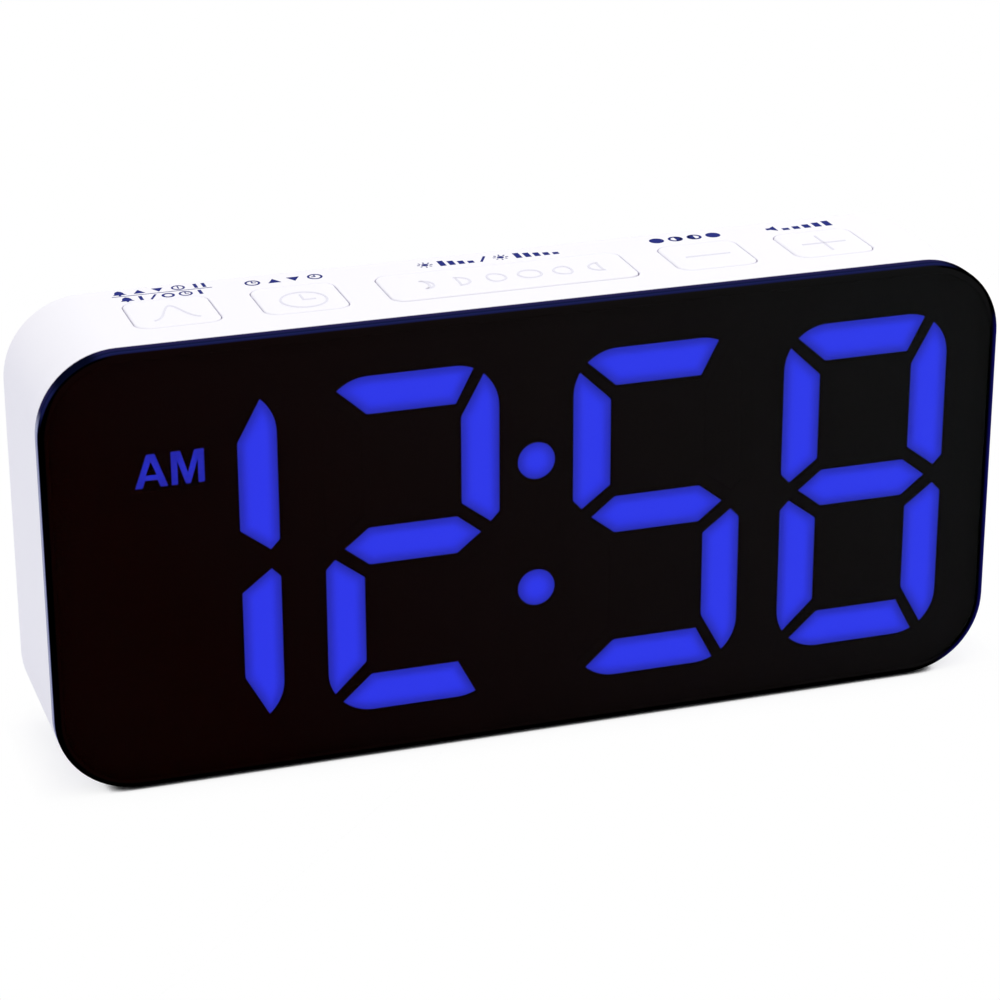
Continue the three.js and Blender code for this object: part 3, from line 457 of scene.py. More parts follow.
def add_piece(thing, body, materials, nodes=(), crease=32.0):
    """Finishes an object: metres, materials, soft shading with creases, its body and its nodes."""
    mesh = thing.data
    mesh.name = thing.name
    mesh.transform(Matrix.Scale(MM, 4))
    work = bmesh.new()
    work.from_mesh(mesh)
    bmesh.ops.remove_doubles(work, verts=work.verts, dist=1e-7)
    bmesh.ops.recalc_face_normals(work, faces=work.faces)
    work.to_mesh(mesh)
    work.free()
    looks = [face.material_index for face in mesh.polygons]
    mesh.materials.clear()
    for material in materials:
        mesh.materials.append(material)
    mesh.polygons.foreach_set("material_index", looks)
    mesh.shade_smooth()
    mesh.set_sharp_from_angle(angle=math.radians(crease))
    weighted = thing.modifiers.new("even shading", "WEIGHTED_NORMAL")
    weighted.keep_sharp = True
    weighted.weight = 80
    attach(thing, body)
    if nodes:
        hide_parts(*nodes)


# Node helpers


def rgba(shade):
    return (*shade[:3], 1.0)


def feed(tree, node, inputs):
    """Links sockets into a node's inputs, or sets their values. An input is a name or a number."""
    for where, source in inputs:
        socket = node.inputs[where]
        if isinstance(source, bpy.types.NodeSocket):
            tree.links.new(source, socket)
        else:
            socket.default_value = rgba(source) if socket.type == "RGBA" else source


def add_node(tree, kind, inputs=(), **settings):
    node = tree.nodes.new(kind)
    for name, value in settings.items():
        setattr(node, name, value)
    feed(tree, node, inputs)
    return node


def number_step(tree, operation, *values):
    """The outcome of an operation on numbers."""
    return add_node(tree, "ShaderNodeMath", enumerate(values), operation=operation).outputs[0]


def vector_step(tree, operation, *values, output=0):
    """The outcome of an operation on vectors."""
    node = add_node(tree, "ShaderNodeVectorMath", enumerate(values), operation=operation)
    return node.outputs[output]


def in_range(tree, value, start, end, low=0.0, high=1.0, **settings):
    """From low to high as a value goes from start to end."""
    inputs = [("Value", value), ("From Min", start), ("From Max", end)]
    inputs += [("To Min", low), ("To Max", high)]
    return add_node(tree, "ShaderNodeMapRange", inputs, **settings).outputs["Result"]


def rise(tree, value, start, end):
    """From 0 to 1, with a soft start and end, as a value goes from start to end."""
    return in_range(tree, value, start, end, interpolation_type="SMOOTHSTEP")


def mix_colours(tree, factor, first, second):
    """Two colours or sockets, mixed by a factor that changes over the surface."""
    inputs = [(0, factor), (6, first), (7, second)]
    return add_node(tree, "ShaderNodeMix", inputs, data_type="RGBA").outputs[2]


def noise(tree, place, scale, detail):
    inputs = [("Vector", place), ("Scale", scale), ("Detail", detail)]
    return add_node(tree, "ShaderNodeTexNoise", inputs).outputs["Fac"]


def ramp(tree, factor, stops):
    """Colours along a factor, from stops of (place, colour)."""
    node = add_node(tree, "ShaderNodeValToRGB", [("Fac", factor)])
    points = node.color_ramp.elements
    while len(points) < len(stops):
        points.new(1.0)
    for point, (place, shade) in zip(points, stops):
        point.position = place
        point.color = rgba(shade)
    return node.outputs["Color"]


# Effects that more than one material uses: each is a node group, built at its first use


def grain_effect(tree, given):
    """Fine moulded grain as a height, and broad soft patches."""
    fine = noise(tree, given["Vector"], given["Fineness"], 3.0)
    return [("Height", fine), ("Patch", noise(tree, given["Vector"], 38.0, 4.0))]


def tone_effect(tree, given):
    """A colour that drifts a little lighter and darker with the patches."""
    centred = number_step(tree, "SUBTRACT", given["Patch"], 0.5)
    level = number_step(tree, "MULTIPLY_ADD", centred, given["Drift"], 1.0)
    inputs = [(0, given["Colour"]), ("Scale", level)]
    toned = add_node(tree, "ShaderNodeVectorMath", inputs, operation="SCALE")
    return [("Colour", toned.outputs[0])]


def crevice_effect(tree, given):
    """Painted shade: a colour that turns to its shade colour in narrow gaps and corners."""
    near = add_node(tree, "ShaderNodeAmbientOcclusion", [("Distance", given["Reach"])], samples=8)
    clear = in_range(tree, near.outputs["AO"], 0.25, 0.9)
    return [("Colour", mix_colours(tree, clear, given["Shade"], given["Colour"]))]


def line_effect(tree, given):
    """Fine drawn lines along one direction, as on rolled or plated metal."""
    stretched = vector_step(tree, "MULTIPLY", given["Vector"], given["Stretch"])
    return [("Lines", noise(tree, stretched, 400.0, 3.0))]


# Name of each group: its maker, its inputs with their defaults, and its outputs
EFFECTS = {
    "moulded_grain": (
        grain_effect,
        [("Vector", "Vector", None), ("Fineness", "Float", 1400.0)],
        [("Height", "Float"), ("Patch", "Float")],
    ),
    "drifting_tone": (
        tone_effect,
        [
            ("Colour", "Color", (0.8, 0.8, 0.8, 1.0)),
            ("Patch", "Float", 0.5),
            ("Drift", "Float", 0.04),
        ],
        [("Colour", "Color")],
    ),
    "crevice_shade": (
        crevice_effect,
        [
            ("Colour", "Color", (0.8, 0.8, 0.8, 1.0)),
            ("Shade", "Color", (0.5, 0.47, 0.62, 1.0)),
            ("Reach", "Float", 0.0013),
        ],
        [("Colour", "Color")],
    ),
    "drawn_lines": (
        line_effect,
        [("Vector", "Vector", None), ("Stretch", "Vector", (1.0, 12.0, 12.0))],
        [("Lines", "Float")],
    ),
}


def make_group(name):
    make, inputs, outputs = EFFECTS[name]
    group = bpy.data.node_groups.new(name, "ShaderNodeTree")
    new_socket = group.interface.new_socket
    for label, kind, default in inputs:
        socket = new_socket(name=label, in_out="INPUT", socket_type=f"NodeSocket{kind}")
        if default is not None:
            socket.default_value = default
    for label, kind in outputs:
        new_socket(name=label, in_out="OUTPUT", socket_type=f"NodeSocket{kind}")
    given = group.nodes.new("NodeGroupInput").outputs
    feed(group, group.nodes.new("NodeGroupOutput"), make(group, given))
    return group


def effect(tree, name, inputs):
    """The outputs of a shared effect that is placed in a material."""
    group = bpy.data.node_groups.get(name) or make_group(name)
    return add_node(tree, "ShaderNodeGroup", inputs, node_tree=group).outputs


def add_grain(tree, shader, place, fineness, depth):
    """Grain on the shader's normal. Gives the socket of the patches back."""
    grain = effect(tree, "moulded_grain", [("Vector", place), ("Fineness", fineness)])
    inputs = [("Strength", 0.6), ("Distance", depth * MM), ("Height", grain["Height"])]
    feed(tree, shader, [("Normal", add_node(tree, "ShaderNodeBump", inputs).outputs["Normal"])])
    return grain["Patch"]


def add_tone(tree, shade, patch, drift):
    inputs = [("Colour", shade), ("Patch", patch), ("Drift", drift)]
    return effect(tree, "drifting_tone", inputs)["Colour"]


def add_spread(tree, patch, low, high):
    """Patches turned into a range of values."""
    return in_range(tree, patch, 0.3, 0.7, low, high)


def inward_value(tree):
    """How far in from the rim a point is, as its form says."""
    return add_node(tree, "ShaderNodeAttribute", attribute_name="inward").outputs["Fac"]


def along_axis(tree, place, axis, start, end):
    """From 0 to 1 between two places along an axis, in millimetres."""
    parts = add_node(tree, "ShaderNodeSeparateXYZ", [("Vector", place)])
    return in_range(tree, parts.outputs[axis], start * MM, end * MM)


def direction(angle):
    """A direction in the plane of the front, from an angle in degrees above X."""
    return Vector((math.cos(math.radians(angle)), 0.0, math.sin(math.radians(angle))))


def facing(tree, way, angle):
    """How far a direction agrees with the one at an angle in degrees, from -1 to 1."""
    return vector_step(tree, "DOT_PRODUCT", way, direction(angle), output="Value")


def across_face(tree, place):
    """From 0 at the lower left of the face to 1 at its upper right."""
    slope, half_run, shift = 30, 0.0815, 0.0055
    centre = direction(slope).dot((lens_low + lens_high) / 2 * MM) + shift
    return in_range(tree, facing(tree, place, slope), centre - half_run, centre + half_run)


def outward(tree, place):
    """Which way the nearest edge of the body faces, as a direction in the plane of the front."""
    middle = (shell_low + shell_high) / 2 * MM
    # So far that a place along Y never counts
    far = 100.0
    core = (shell_high - shell_low) / 2 * MM - Vector((body_corner, -far, body_corner)) * MM
    centred = vector_step(tree, "SUBTRACT", place, middle)
    beyond = vector_step(tree, "SUBTRACT", vector_step(tree, "ABSOLUTE", centred), core)
    away = vector_step(tree, "NORMALIZE", vector_step(tree, "MAXIMUM", beyond, (0.0, 0.0, 0.0)))
    return vector_step(tree, "MULTIPLY", away, vector_step(tree, "SIGN", centred))


# Materials: each keeps its own shader


def start_material(name):
    """A material with its tree and shader, and where a point is on the object."""
    material = bpy.data.materials.new(name)
    material.use_nodes = True
    tree = material.node_tree
    place = add_node(tree, "ShaderNodeTexCoord").outputs["Object"]
    return material, tree, tree.nodes["Principled BSDF"], place


def plastic(
    name,
    base,
    rough,
    fineness=1400.0,
    depth=0.012,
    drift=0.03,
    specular=0.5,
    metal=0.0,
    shade=None,
    seam=None,
):
    """Moulded plastic, rubber, paint or cast metal with fine grain. rough is a range.

    A shade paints shade into its crevices, and a seam colour paints a shade line along its front edge.
    """
    material, tree, shader, place = start_material(name)
    patch = add_grain(tree, shader, place, fineness, depth)
    tone = add_tone(tree, base, patch, drift)
    if shade:
        tone = effect(tree, "crevice_shade", [("Colour", tone), ("Shade", shade)])["Colour"]
    if seam:
        # Painted shade: the front edge turns to the seam colour over its last half millimetre
        seam_shade_end, seam_shade_full = shell_low.y + 0.5, shell_low.y + 0.1
        tone = mix_colours(tree, along_axis(tree, place, 1, seam_shade_end, seam_shade_full), tone, seam)
    roughness = add_spread(tree, patch, *rough)
    feed(tree, shader, [("Base Color", tone), ("Roughness", roughness)])
    feed(tree, shader, [("Specular IOR Level", specular), ("Metallic", metal)])
    return material


def plated(name, base, rough):
    """Plated or rolled metal, with fine drawn lines."""
    material, tree, shader, place = start_material(name)
    patch = add_grain(tree, shader, place, 900.0, 0.004)
    lines = effect(tree, "drawn_lines", [("Vector", place)])["Lines"]
    tone = add_tone(tree, add_tone(tree, base, lines, 0.25), patch, 0.1)
    roughness = add_spread(tree, lines, *rough)
    feed(tree, shader, [("Base Color", tone), ("Roughness", roughness), ("Metallic", 1.0)])
    return material


def circuit_board(name, base, trace):
    """Solder mask over copper traces: runs of lines that turn at cells, with round pads."""
    material, tree, shader, place = start_material(name)
    patch = add_grain(tree, shader, place, 900.0, 0.006)
    lighter = [part * 1.25 for part in base]
    tinned = (0.55, 0.56, 0.55)
    inputs = [("Vector", place), ("Color1", base), ("Color2", lighter), ("Mortar", trace)]
    inputs += [("Scale", 60.0), ("Mortar Size", 0.014), ("Brick Width", 0.7), ("Row Height", 0.18)]
    cells = add_node(tree, "ShaderNodeTexBrick", inputs).outputs["Color"]
    spots = add_node(tree, "ShaderNodeTexVoronoi", [("Vector", place), ("Scale", 170.0)])
    pad = in_range(tree, spots.outputs["Distance"], 0.12, 0.15, 1.0, 0.0)
    tone = add_tone(tree, mix_colours(tree, pad, cells, tinned), patch, 0.2)
    feed(tree, shader, [("Base Color", tone), ("Roughness", add_spread(tree, patch, 0.3, 0.42))])
    return material


def smoked_lens(settings):
    """Smoked glossy sheet, with a painted warm reflection at the left that turns neutral at the right."""
    material, tree, shader, place = start_material("smoked_lens")
    patch = add_grain(tree, shader, place, 25.0, 0.0004)
    tint = mix_colours(tree, across_face(tree, place), settings.smoke_and_reflection_left, settings.smoke_and_reflection_right)
    feed(tree, shader, [("Base Color", add_tone(tree, tint, patch, 0.1))])
    feed(tree, shader, [("Roughness", add_spread(tree, patch, 0.03, 0.06))])
    feed(tree, shader, [("Specular IOR Level", 0.015), ("Alpha", 0.3)])
    return material


# Painted light and shade on the lens's edge, by the way it faces, from the rim at 0 to the face at 1
BLACK = (0.0, 0.0, 0.0)
CORNER_PAINTED_NAVY = (0.0014, 0.0024, 0.0115)
UPPER_EDGE_PAINTED_LIGHT = [
    (0.0, (0.015, 0.0135, 0.068)),
    (0.1, (0.0062, 0.0098, 0.05)),
    (0.28, (0.0047, 0.0072, 0.039)),
    # The lighter stop at 0.4 is a painted highlight line where the bevel starts
    (0.4, (0.0105, 0.0135, 0.074)),
    (0.5, (0.008, 0.01, 0.055)),
]
PAINTED_PALE_REFLECTION = [(0.0, (0.4, 0.42, 0.58)), (0.14, (0.32, 0.35, 0.52)), (0.25, (0.2, 0.23, 0.42))]
LEFT_EDGE_PAINTED_LIGHT = PAINTED_PALE_REFLECTION + [(0.33, (0.03, 0.034, 0.11)), (0.4, BLACK)]
RIGHT_EDGE_PAINTED_LIGHT = PAINTED_PALE_REFLECTION + [
    (0.36, (0.009, 0.009, 0.12)),
    (0.52, (0.0066, 0.0063, 0.107)),
    (0.68, (0.0052, 0.0047, 0.088)),
    (0.8, (0.0025, 0.0022, 0.036)),
    (0.88, BLACK),
]


def lens_edge_painted_light(settings):
    """Edge of the front layers, with light and shade painted by the way it faces: painted deep blue
    light on top and at the right, a painted pale reflection at the left, else painted black shade.

    From the rim inwards the colour turns into black, and then into the face's own.
    """
    material, tree, shader, place = start_material("lens_edge_painted_light")
    patch = add_grain(tree, shader, place, 60.0, 0.001)
    inward = inward_value(tree)
    way = outward(tree, place)
    # The face colour carries the same painted reflection as the lens
    face = mix_colours(tree, across_face(tree, place), settings.face_and_reflection_left, settings.face_and_reflection_right)

    def towards(angle, start, end):
        return rise(tree, facing(tree, way, angle), start, end)

    # Painted light and shade by facing: black below, painted blue on top and at the right, pale at the left
    ring = mix_colours(tree, towards(90, 0.98, 1.0), BLACK, face)
    blue = mix_colours(tree, towards(123, 0.92, 0.985), ramp(tree, inward, UPPER_EDGE_PAINTED_LIGHT), CORNER_PAINTED_NAVY)
    upper = mix_colours(tree, rise(tree, inward, 0.5, 0.6), blue, ring)
    shade = mix_colours(tree, towards(120, 0.55, 0.8), BLACK, upper)
    shade = mix_colours(tree, towards(195, 0.8, 0.93), shade, ramp(tree, inward, LEFT_EDGE_PAINTED_LIGHT))
    sooner = number_step(tree, "MULTIPLY_ADD", towards(90, 0.3, 0.7), 0.17, inward)
    shade = mix_colours(tree, rise(tree, sooner, 0.8, 0.9), shade, face)
    shade = mix_colours(tree, towards(-25, 0.72, 0.92), shade, ramp(tree, inward, RIGHT_EDGE_PAINTED_LIGHT))
    feed(tree, shader, [("Base Color", add_tone(tree, shade, patch, 0.1))])
    feed(tree, shader, [("Roughness", add_spread(tree, patch, 0.3, 0.4))])
    feed(tree, shader, [("Specular IOR Level", 0.0)])
    return material


def lit_pad(name, rim, centre):
    """Diffuser with light behind it: dimmer at its rim than in its middle."""
    material, tree, shader, place = start_material(name)
    patch = add_grain(tree, shader, place, 500.0, 0.002)
    light = add_tone(tree, mix_colours(tree, inward_value(tree), rim, centre), patch, 0.03)
    unlit = (0.002, 0.002, 0.01)
    feed(tree, shader, [("Emission Color", light), ("Emission Strength", 1.0)])
    feed(tree, shader, [("Base Color", unlit), ("Roughness", 0.5), ("Specular IOR Level", 0.0)])
    return material


def sleeve(name, base, end_low, end_high):
    """Printed sleeve of a cell, with a metallic band at each end."""
    material, tree, shader, place = start_material(name)
    patch = add_grain(tree, shader, place, 300.0, 0.004)
    fade, band = 0.1, (0.6, 0.6, 0.62)
    low = along_axis(tree, place, 0, end_low, end_low - fade)
    high = along_axis(tree, place, 0, end_high, end_high + fade)
    shade = mix_colours(tree, number_step(tree, "MAXIMUM", low, high), base, band)
    feed(tree, shader, [("Base Color", add_tone(tree, shade, patch, 0.08))])
    feed(tree, shader, [("Roughness", add_spread(tree, patch, 0.25, 0.36))])
    return material


# Casing


def body_outline(steps):
    return box_outline(shell_low, shell_high, body_corner, steps=steps)


def key_outline(name, grow=0.0):
    """Crown of a key, from the box of its node, whose lip is wider."""
    low, high = node_box(f"{name}_key")
    return box_outline(low, high, key_corner + grow, grow - key_lip, up="y")


def screw_places():
    return [node_middle(node) for node in COVER_SCREWS]


def boss_places():
    """Bosses for the key board: their Y, then the X of the two with screws and of the outer two."""
    inner = [node_middle(f"key_board_screw_{k}").x for k in (1, 2)]
    low, high = node_box("key_board")
    return node_middle("key_board_screw_1").y, inner, [low.x + boss_radius, high.x - boss_radius]


def foot_outline(node, grow=0.0):
    low, high = node_box(node)
    corner = (high.y - low.y + 2 * grow) * 0.45
    return box_outline(low, high, corner, grow, steps=10, up="y")


def shell_insides():
    """Posts for the cover's screws, each with a rib to the corner, and bosses for the key board."""
    insides = Form()
    post_radius, rib_thickness = 3.3, 1.6
    front = shell_low.y + rim_thickness - bite
    back = shell_high.y - wall - fit_gap
    half = rib_thickness / 2 / math.sqrt(2)
    reach = (body_corner - wall / 2) / math.sqrt(2)
    for place in screw_places():
        insides.rod(post_radius, front, back, across_y, place.x, place.z)
        side = math.copysign(1, place.x)
        end = math.copysign(1, place.z - (shell_low.z + shell_high.z) / 2)
        corner_z = shell_low.z + body_corner if end < 0 else shell_high.z - body_corner
        tip_x = side * (shell_high.x - body_corner + reach)
        tip_z = corner_z + end * reach
        rib = [
            (place.x - side * half, place.z + end * half),
            (place.x + side * half, place.z - end * half),
            (tip_x + side * half, tip_z - end * half),
            (tip_x - side * half, tip_z + end * half),
        ]
        insides.prism(left_turning(rib), front, back, across_y)
    line, inner, outer = boss_places()
    bottom = node_box("key_board")[1].z + fit_gap
    for x in inner + outer:
        insides.rod(boss_radius, bottom, shell_high.z - wall / 2, across_z, x, line)
    return insides


def shell_cuts(settings):
    """Holes for the keys, pockets for the feet and pilot holes for the screws."""
    cuts = Form()
    top = shell_high.z
    pilot_depth = 8
    for name in KEYS:
        layers = [(-fit_gap, top - wall - 1)] + flared_edge(settings.hole_rounding, top, 1, fit_gap)
        cuts.layered(key_outline(name), layers, across_z)
        if name == "snooze":
            cuts.layered(moved(key_outline(name), 0.0, -settings.front_gap), layers, across_z)
    for node in FEET:
        pocket = node_box(node)[1].z + film_gap
        cuts.prism(foot_outline(node, fit_gap), shell_low.z - 1, pocket, across_z)
    for place in screw_places():
        cuts.rod(cover_pilot, place.y - pilot_depth, shell_high.y, across_y, place.x, place.z)
    line, inner, _ = boss_places()
    bottom = node_box("key_board")[1].z
    for x in inner:
        cuts.rod(board_pilot, bottom - 1, shell_high.z - wall, across_z, x, line)
    return cuts


def make_shell(settings, material):
    front, back = shell_low.y, shell_high.y
    seam = settings.seam_rounding
    layers = [(rim_width, front + rim_thickness), (rim_width, front)]
    layers += list(reversed(rounded_edge(seam, front, -1, 3)))
    layers += rounded_edge(settings.rear_rounding, back, 1, 8)
    layers += [(wall - seam, back), (wall, back - seam), (wall, front + rim_thickness)]
    form = Form().layered(body_outline(settings.arc_steps), layers, across_y, closed=True)
    shell = form.object("shell_skin")
    combine(shell, shell_insides(), "UNION")
    combine(shell, shell_cuts(settings), "DIFFERENCE")
    add_piece(shell, "clock", [material], ["shell"])


def make_feet(material):
    rounding = 0.2
    for k, node in enumerate(FEET, start=1):
        low, high = node_box(node)
        layers = [(0.0, high.z)] + rounded_edge(rounding, low.z, -1, 4)
        foot = Form().layered(foot_outline(node), layers, across_z).object(f"foot_pad_{k}")
        add_piece(foot, "clock", [material], [node])


# Display


def figure_segments():
    """The seven segments of a figure about its centre: a on top, b to f clockwise, g across."""
    w = figure_width / 2
    h = figure_height / 2
    gap = segment_gap
    inner = w - segment_stroke
    bar_end = inner - gap / 2
    bar_bottom = h - segment_stroke
    half = segment_stroke / 2
    tip_inset, join_reach = 2.05, 7.1
    tip = w - tip_inset
    left_mitre, right_mitre, mitre_half = 141.0, 57.0, 7.5
    steps = 8

    def corner(side, start, end):
        return arc(figure_corner, start, end, steps, side * (w - figure_corner), h - figure_corner)

    def upright(side, mitre, level):
        outline = corner(side, mitre, level)
        outline += [(side * w, half), (side * tip, gap), (side * inner, join_reach)]
        return outline + [(side * inner, bar_bottom - gap * math.sqrt(2))]

    a = corner(-1, left_mitre - mitre_half, 90) + corner(1, 90, right_mitre + mitre_half)
    a += [(bar_end, bar_bottom), (-bar_end, bar_bottom)]
    b = upright(1, right_mitre - mitre_half, 0)
    f = upright(-1, left_mitre + mitre_half, 180)
    g = [(gap - tip, 0), (-bar_end, half), (bar_end, half)]
    g += [(tip - gap, 0), (bar_end, -half), (-bar_end, -half)]

    def flipped(outline):
        return [(u, -v) for u, v in outline]

    found = {"a": a, "b": b, "c": flipped(b), "d": flipped(a), "e": flipped(f), "f": f, "g": g}
    return {name: left_turning(outline) for name, outline in found.items()}


def figures():
    """Each figure: its node, the middle of the figure, its segments and the lit ones."""
    shown = {
        "hours_tens": ("bc", "bc"),
        "hours_units": ("abcdefg", "abdeg"),
        "minutes_tens": ("abcdefg", "acdfg"),
        "minutes_units": ("abcdefg", "abcdefg"),
    }
    found = []
    for name, (segments, lit) in shown.items():
        low, high = node_box(f"{name}_diffuser")
        x = high.x - plate_margin - figure_width / 2
        found.append((f"{name}_diffuser", x, (low.z + high.z) / 2, segments, lit))
    return found


def colon_dots():
    low, high = node_box("colon_diffuser")
    x = (low.x + high.x) / 2
    radius = (high.x - low.x) / 2 - plate_margin
    reach = plate_margin + radius
    return [circle(radius, x, z, 40) for z in (low.z + reach, high.z - reach)]


def letter_window():
    low, high = node_box("half_day_diffuser")
    corner = 1.0
    return box_outline(low, high, corner, -plate_margin)


def half_day_letters():
    """The letters A and M, with the hole of the A. They stand in the middle of their window."""
    height, width_a, width_m, space = 7.4, 7.0, 7.05, 0.75
    bar_a, bar_m = 1.6, 1.35
    apex = bar_a * 0.55
    middle = width_a / 2
    run = (middle - apex) / height
    low, high = height * 0.22, height * 0.22 + bar_a * 0.72
    hole_left = high * run + bar_a * 0.85
    letter_a = [(0, 0), (bar_a, 0), (bar_a + low * run, low), (width_a - bar_a - low * run, low)]
    letter_a += [(width_a - bar_a, 0), (width_a, 0)]
    letter_a += [(middle + apex, height), (middle - apex, height)]
    hole = [(hole_left, high), (width_a - hole_left, high), (middle, height - bar_a)]
    shoulder, valley, toe = bar_m * 1.5, height * 0.33, bar_m * 0.38
    armpit = height - bar_m * 1.6
    letter_m = [(0, 0), (0, height), (shoulder, height), (width_m / 2, valley)]
    letter_m += [(width_m - shoulder, height), (width_m, height), (width_m, 0)]
    letter_m += [(width_m - bar_m, 0), (width_m - bar_m, armpit), (width_m / 2 + toe, 0)]
    letter_m += [(width_m / 2 - toe, 0), (bar_m, armpit), (bar_m, 0)]
    window = node_middle("half_day_diffuser")
    left = window.x - (width_a + space + width_m) / 2
    base = window.z - height / 2
    a = moved(letter_a, left, base)
    m = moved(letter_m, left + width_a + space, base)
    return a, moved(hole, left, base), m


def make_lens(settings, steps, clear, edge):
    front, back = lens_low.y, lens_high.y
    bevel_steps = 8
    layers = [(0.0, back)] + rounded_edge(settings.bevel, front, -1, bevel_steps)
    layers.append((settings.bevel + settings.border, front))
    inward = [0.0] + [0.3 + 0.5 * k / bevel_steps for k in range(bevel_steps + 1)] + [1.0]
    form = Form().layered(body_outline(steps), layers, across_y, look=1, inward=inward)
    # The last two faces are the flat ends of the sheet, and they are clear
    form.looks[-2:] = [0, 0]
    lens = form.object("lens_sheet")
    add_piece(lens, "clock", [clear, edge], ["front_lens"], crease=40.0)


def make_mask(steps, black, edge):
    """The mask with a window for each segment. Its outer rim shows the edge's painted light and shade."""
    windows = []
    segments = figure_segments()
    for _, x, z, names, _ in figures():
        windows += [moved(segments[name], x, z) for name in names]
    windows += colon_dots()
    windows.append(letter_window())
    form = Form().plate(body_outline(steps), windows, mask_low.y, mask_high.y, across_y)
    rim = 0.5
    inner_line = drawn_in(body_outline(steps), rim)
    for k, face in enumerate(form.faces):
        corners = [form.points[i] for i in face]
        is_side = len({y for _, y, _ in corners}) > 1
        if is_side and not any(is_inside(inner_line, x, z) for x, _, z in corners):
            form.looks[k] = 1
    mask = form.object("mask_sheet")
    add_piece(mask, "clock", [black, edge], ["display_mask"], crease=20.0)


def edge_distance(outline, u, v):
    """How far a point is from the nearest edge of an outline."""
    point = Vector((u, v))
    found = []
    for a, b in zip(outline, outline[1:] + outline[:1]):
        near, share = intersect_point_line(point, a, b)
        near = Vector(a).lerp(Vector(b), min(max(share, 0.0), 1.0))
        found.append((point - near).length)
    return min(found)


def grid_inside(outline, holes, step):
    """Points of a staggered grid that lie inside an outline, clear of its edges and its holes."""
    low_u, high_u = min(p[0] for p in outline), max(p[0] for p in outline)
    low_v, high_v = min(p[1] for p in outline), max(p[1] for p in outline)
    margin = 0.4 * step
    loops = [outline, *holes]
    found = []
    for row in range(1, int((high_v - low_v) / step) + 1):
        for column in range(int((high_u - low_u) / step) + 1):
            u = low_u + (column + 0.5 * (row % 2)) * step
            v = low_v + row * step
            clear = min(edge_distance(loop, u, v) for loop in loops) > margin
            in_hole = any(is_inside(hole, u, v) for hole in holes)
            if clear and is_inside(outline, u, v) and not in_hole:
                found.append((u, v))
    return found


def add_letter(form, letter, holes, settings, front, back):
    """A letter that is brightest at its middle."""
    middle_u = (min(p[0] for p in letter) + max(p[0] for p in letter)) / 2
    middle_v = (min(p[1] for p in letter) + max(p[1] for p in letter)) / 2

    def glow(u, v):
        share = 1.0 - min(math.hypot(u - middle_u, v - middle_v) / settings.letter_glow, 1.0)
        return share * share * (3 - 2 * share)

    inner = grid_inside(letter, holes, settings.glow_step)
    form.plate(letter, holes, front, back, across_y, side_look=1, inner=inner, inward=glow)


def add_pad(form, outline, settings, front, back, look):
    """A pad with a grid of points, whose inward value grows from the rim to the middle."""
    pad = drawn_in(left_turning(outline), settings.pad_gap)

    def inward(u, v):
        share = min(edge_distance(pad, u, v) / settings.glow_width, 1.0)
        return share * share * (3 - 2 * share)

    inner = grid_inside(pad, [], settings.glow_step)
    form.plate(pad, [], front, back, across_y, look, look, inner, inward)


def pad_levels(node):
    """Front of the pads, and front and back of the plate that carries them."""
    back = node_box(node)[1].y
    return mask_low.y + film_gap, back - plate_thickness, back


def make_figure(settings, node, outlines, plate_corner, lit_names, lit, dark):
    """A diffuser plate behind the mask, with a pad in each window."""
    low, high = node_box(node)
    pad_front, plate_front, back = pad_levels(node)
    plate = box_outline(low, high, plate_corner)
    form = Form().prism(plate, plate_front, back, across_y, look=1)
    for name, outline in outlines:
        add_pad(form, outline, settings, pad_front, plate_front, 0 if name in lit_names else 1)
    diffuser = form.object(f"{node}_pads")
    add_piece(diffuser, "clock", [lit, dark], [node])


def make_half_day(settings, lit, dark):
    """The plate and panel of the half-day letters, with the letters raised on the panel."""
    node = "half_day_diffuser"
    low, high = node_box(node)
    pad_front, plate_front, back = pad_levels(node)
    letter_thickness = 0.1
    panel_front = pad_front + letter_thickness
    form = Form().prism(rect(low.x, high.x, low.z, high.z), plate_front, back, across_y, look=1)
    panel = drawn_in(letter_window(), settings.pad_gap)
    form.prism(panel, panel_front, plate_front, across_y, look=1)
    a, hole, m = half_day_letters()
    add_letter(form, a, [hole], settings, pad_front, panel_front)
    add_letter(form, m, [], settings, pad_front, panel_front)
    letters = form.object("half_day_letters")
    add_piece(letters, "clock", [lit, dark], [node])


# Keys


def make_key(name, settings, material):
    """A key's cap, which slopes softly up from its edge, with the lip and the stems below it."""
    low, high = node_box(f"{name}_key")
    grow = fit_gap - settings.gap
    slope_height, lip_bevel, stem_bite = 0.1, 0.15, 0.4
    crown_top = high.z - settings.mark_height
    lip_top = shell_high.z - wall - fit_gap
    lip_bottom = lip_top - key_lip_thickness
    crown = [(0.0, lip_top - key_lip_thickness / 2)]
    crown += rounded_edge(settings.rounding, crown_top - slope_height, 1, 6)[:-1]
    for share in (0, 0.25, 0.5, 0.75, 1):
        level = crown_top - slope_height * (1 - share) ** 2
        crown.append((settings.rounding + settings.pillow * share, level))
    key = Form().layered(key_outline(name, grow), crown, across_z).object(f"{name}_cap")
    lip_layers = [(lip_bevel, lip_bottom), (0.0, lip_bottom + lip_bevel), (0.0, lip_top)]
    lip = Form().layered(key_outline(name, key_lip), lip_layers, across_z)
    nodes = [f"{name}_plunger"] if name != "snooze" else ["snooze_plunger_1", "snooze_plunger_2"]
    for node in nodes:
        x, y = node_middle(node).x, (low.y + high.y) / 2
        lip.rod(stem_radius, low.z, lip_bottom + stem_bite, across_z, x, y)
    combine(key, lip, "UNION")
    add_piece(key, f"{name}_button", [material], [f"{name}_key"], crease=50.0)


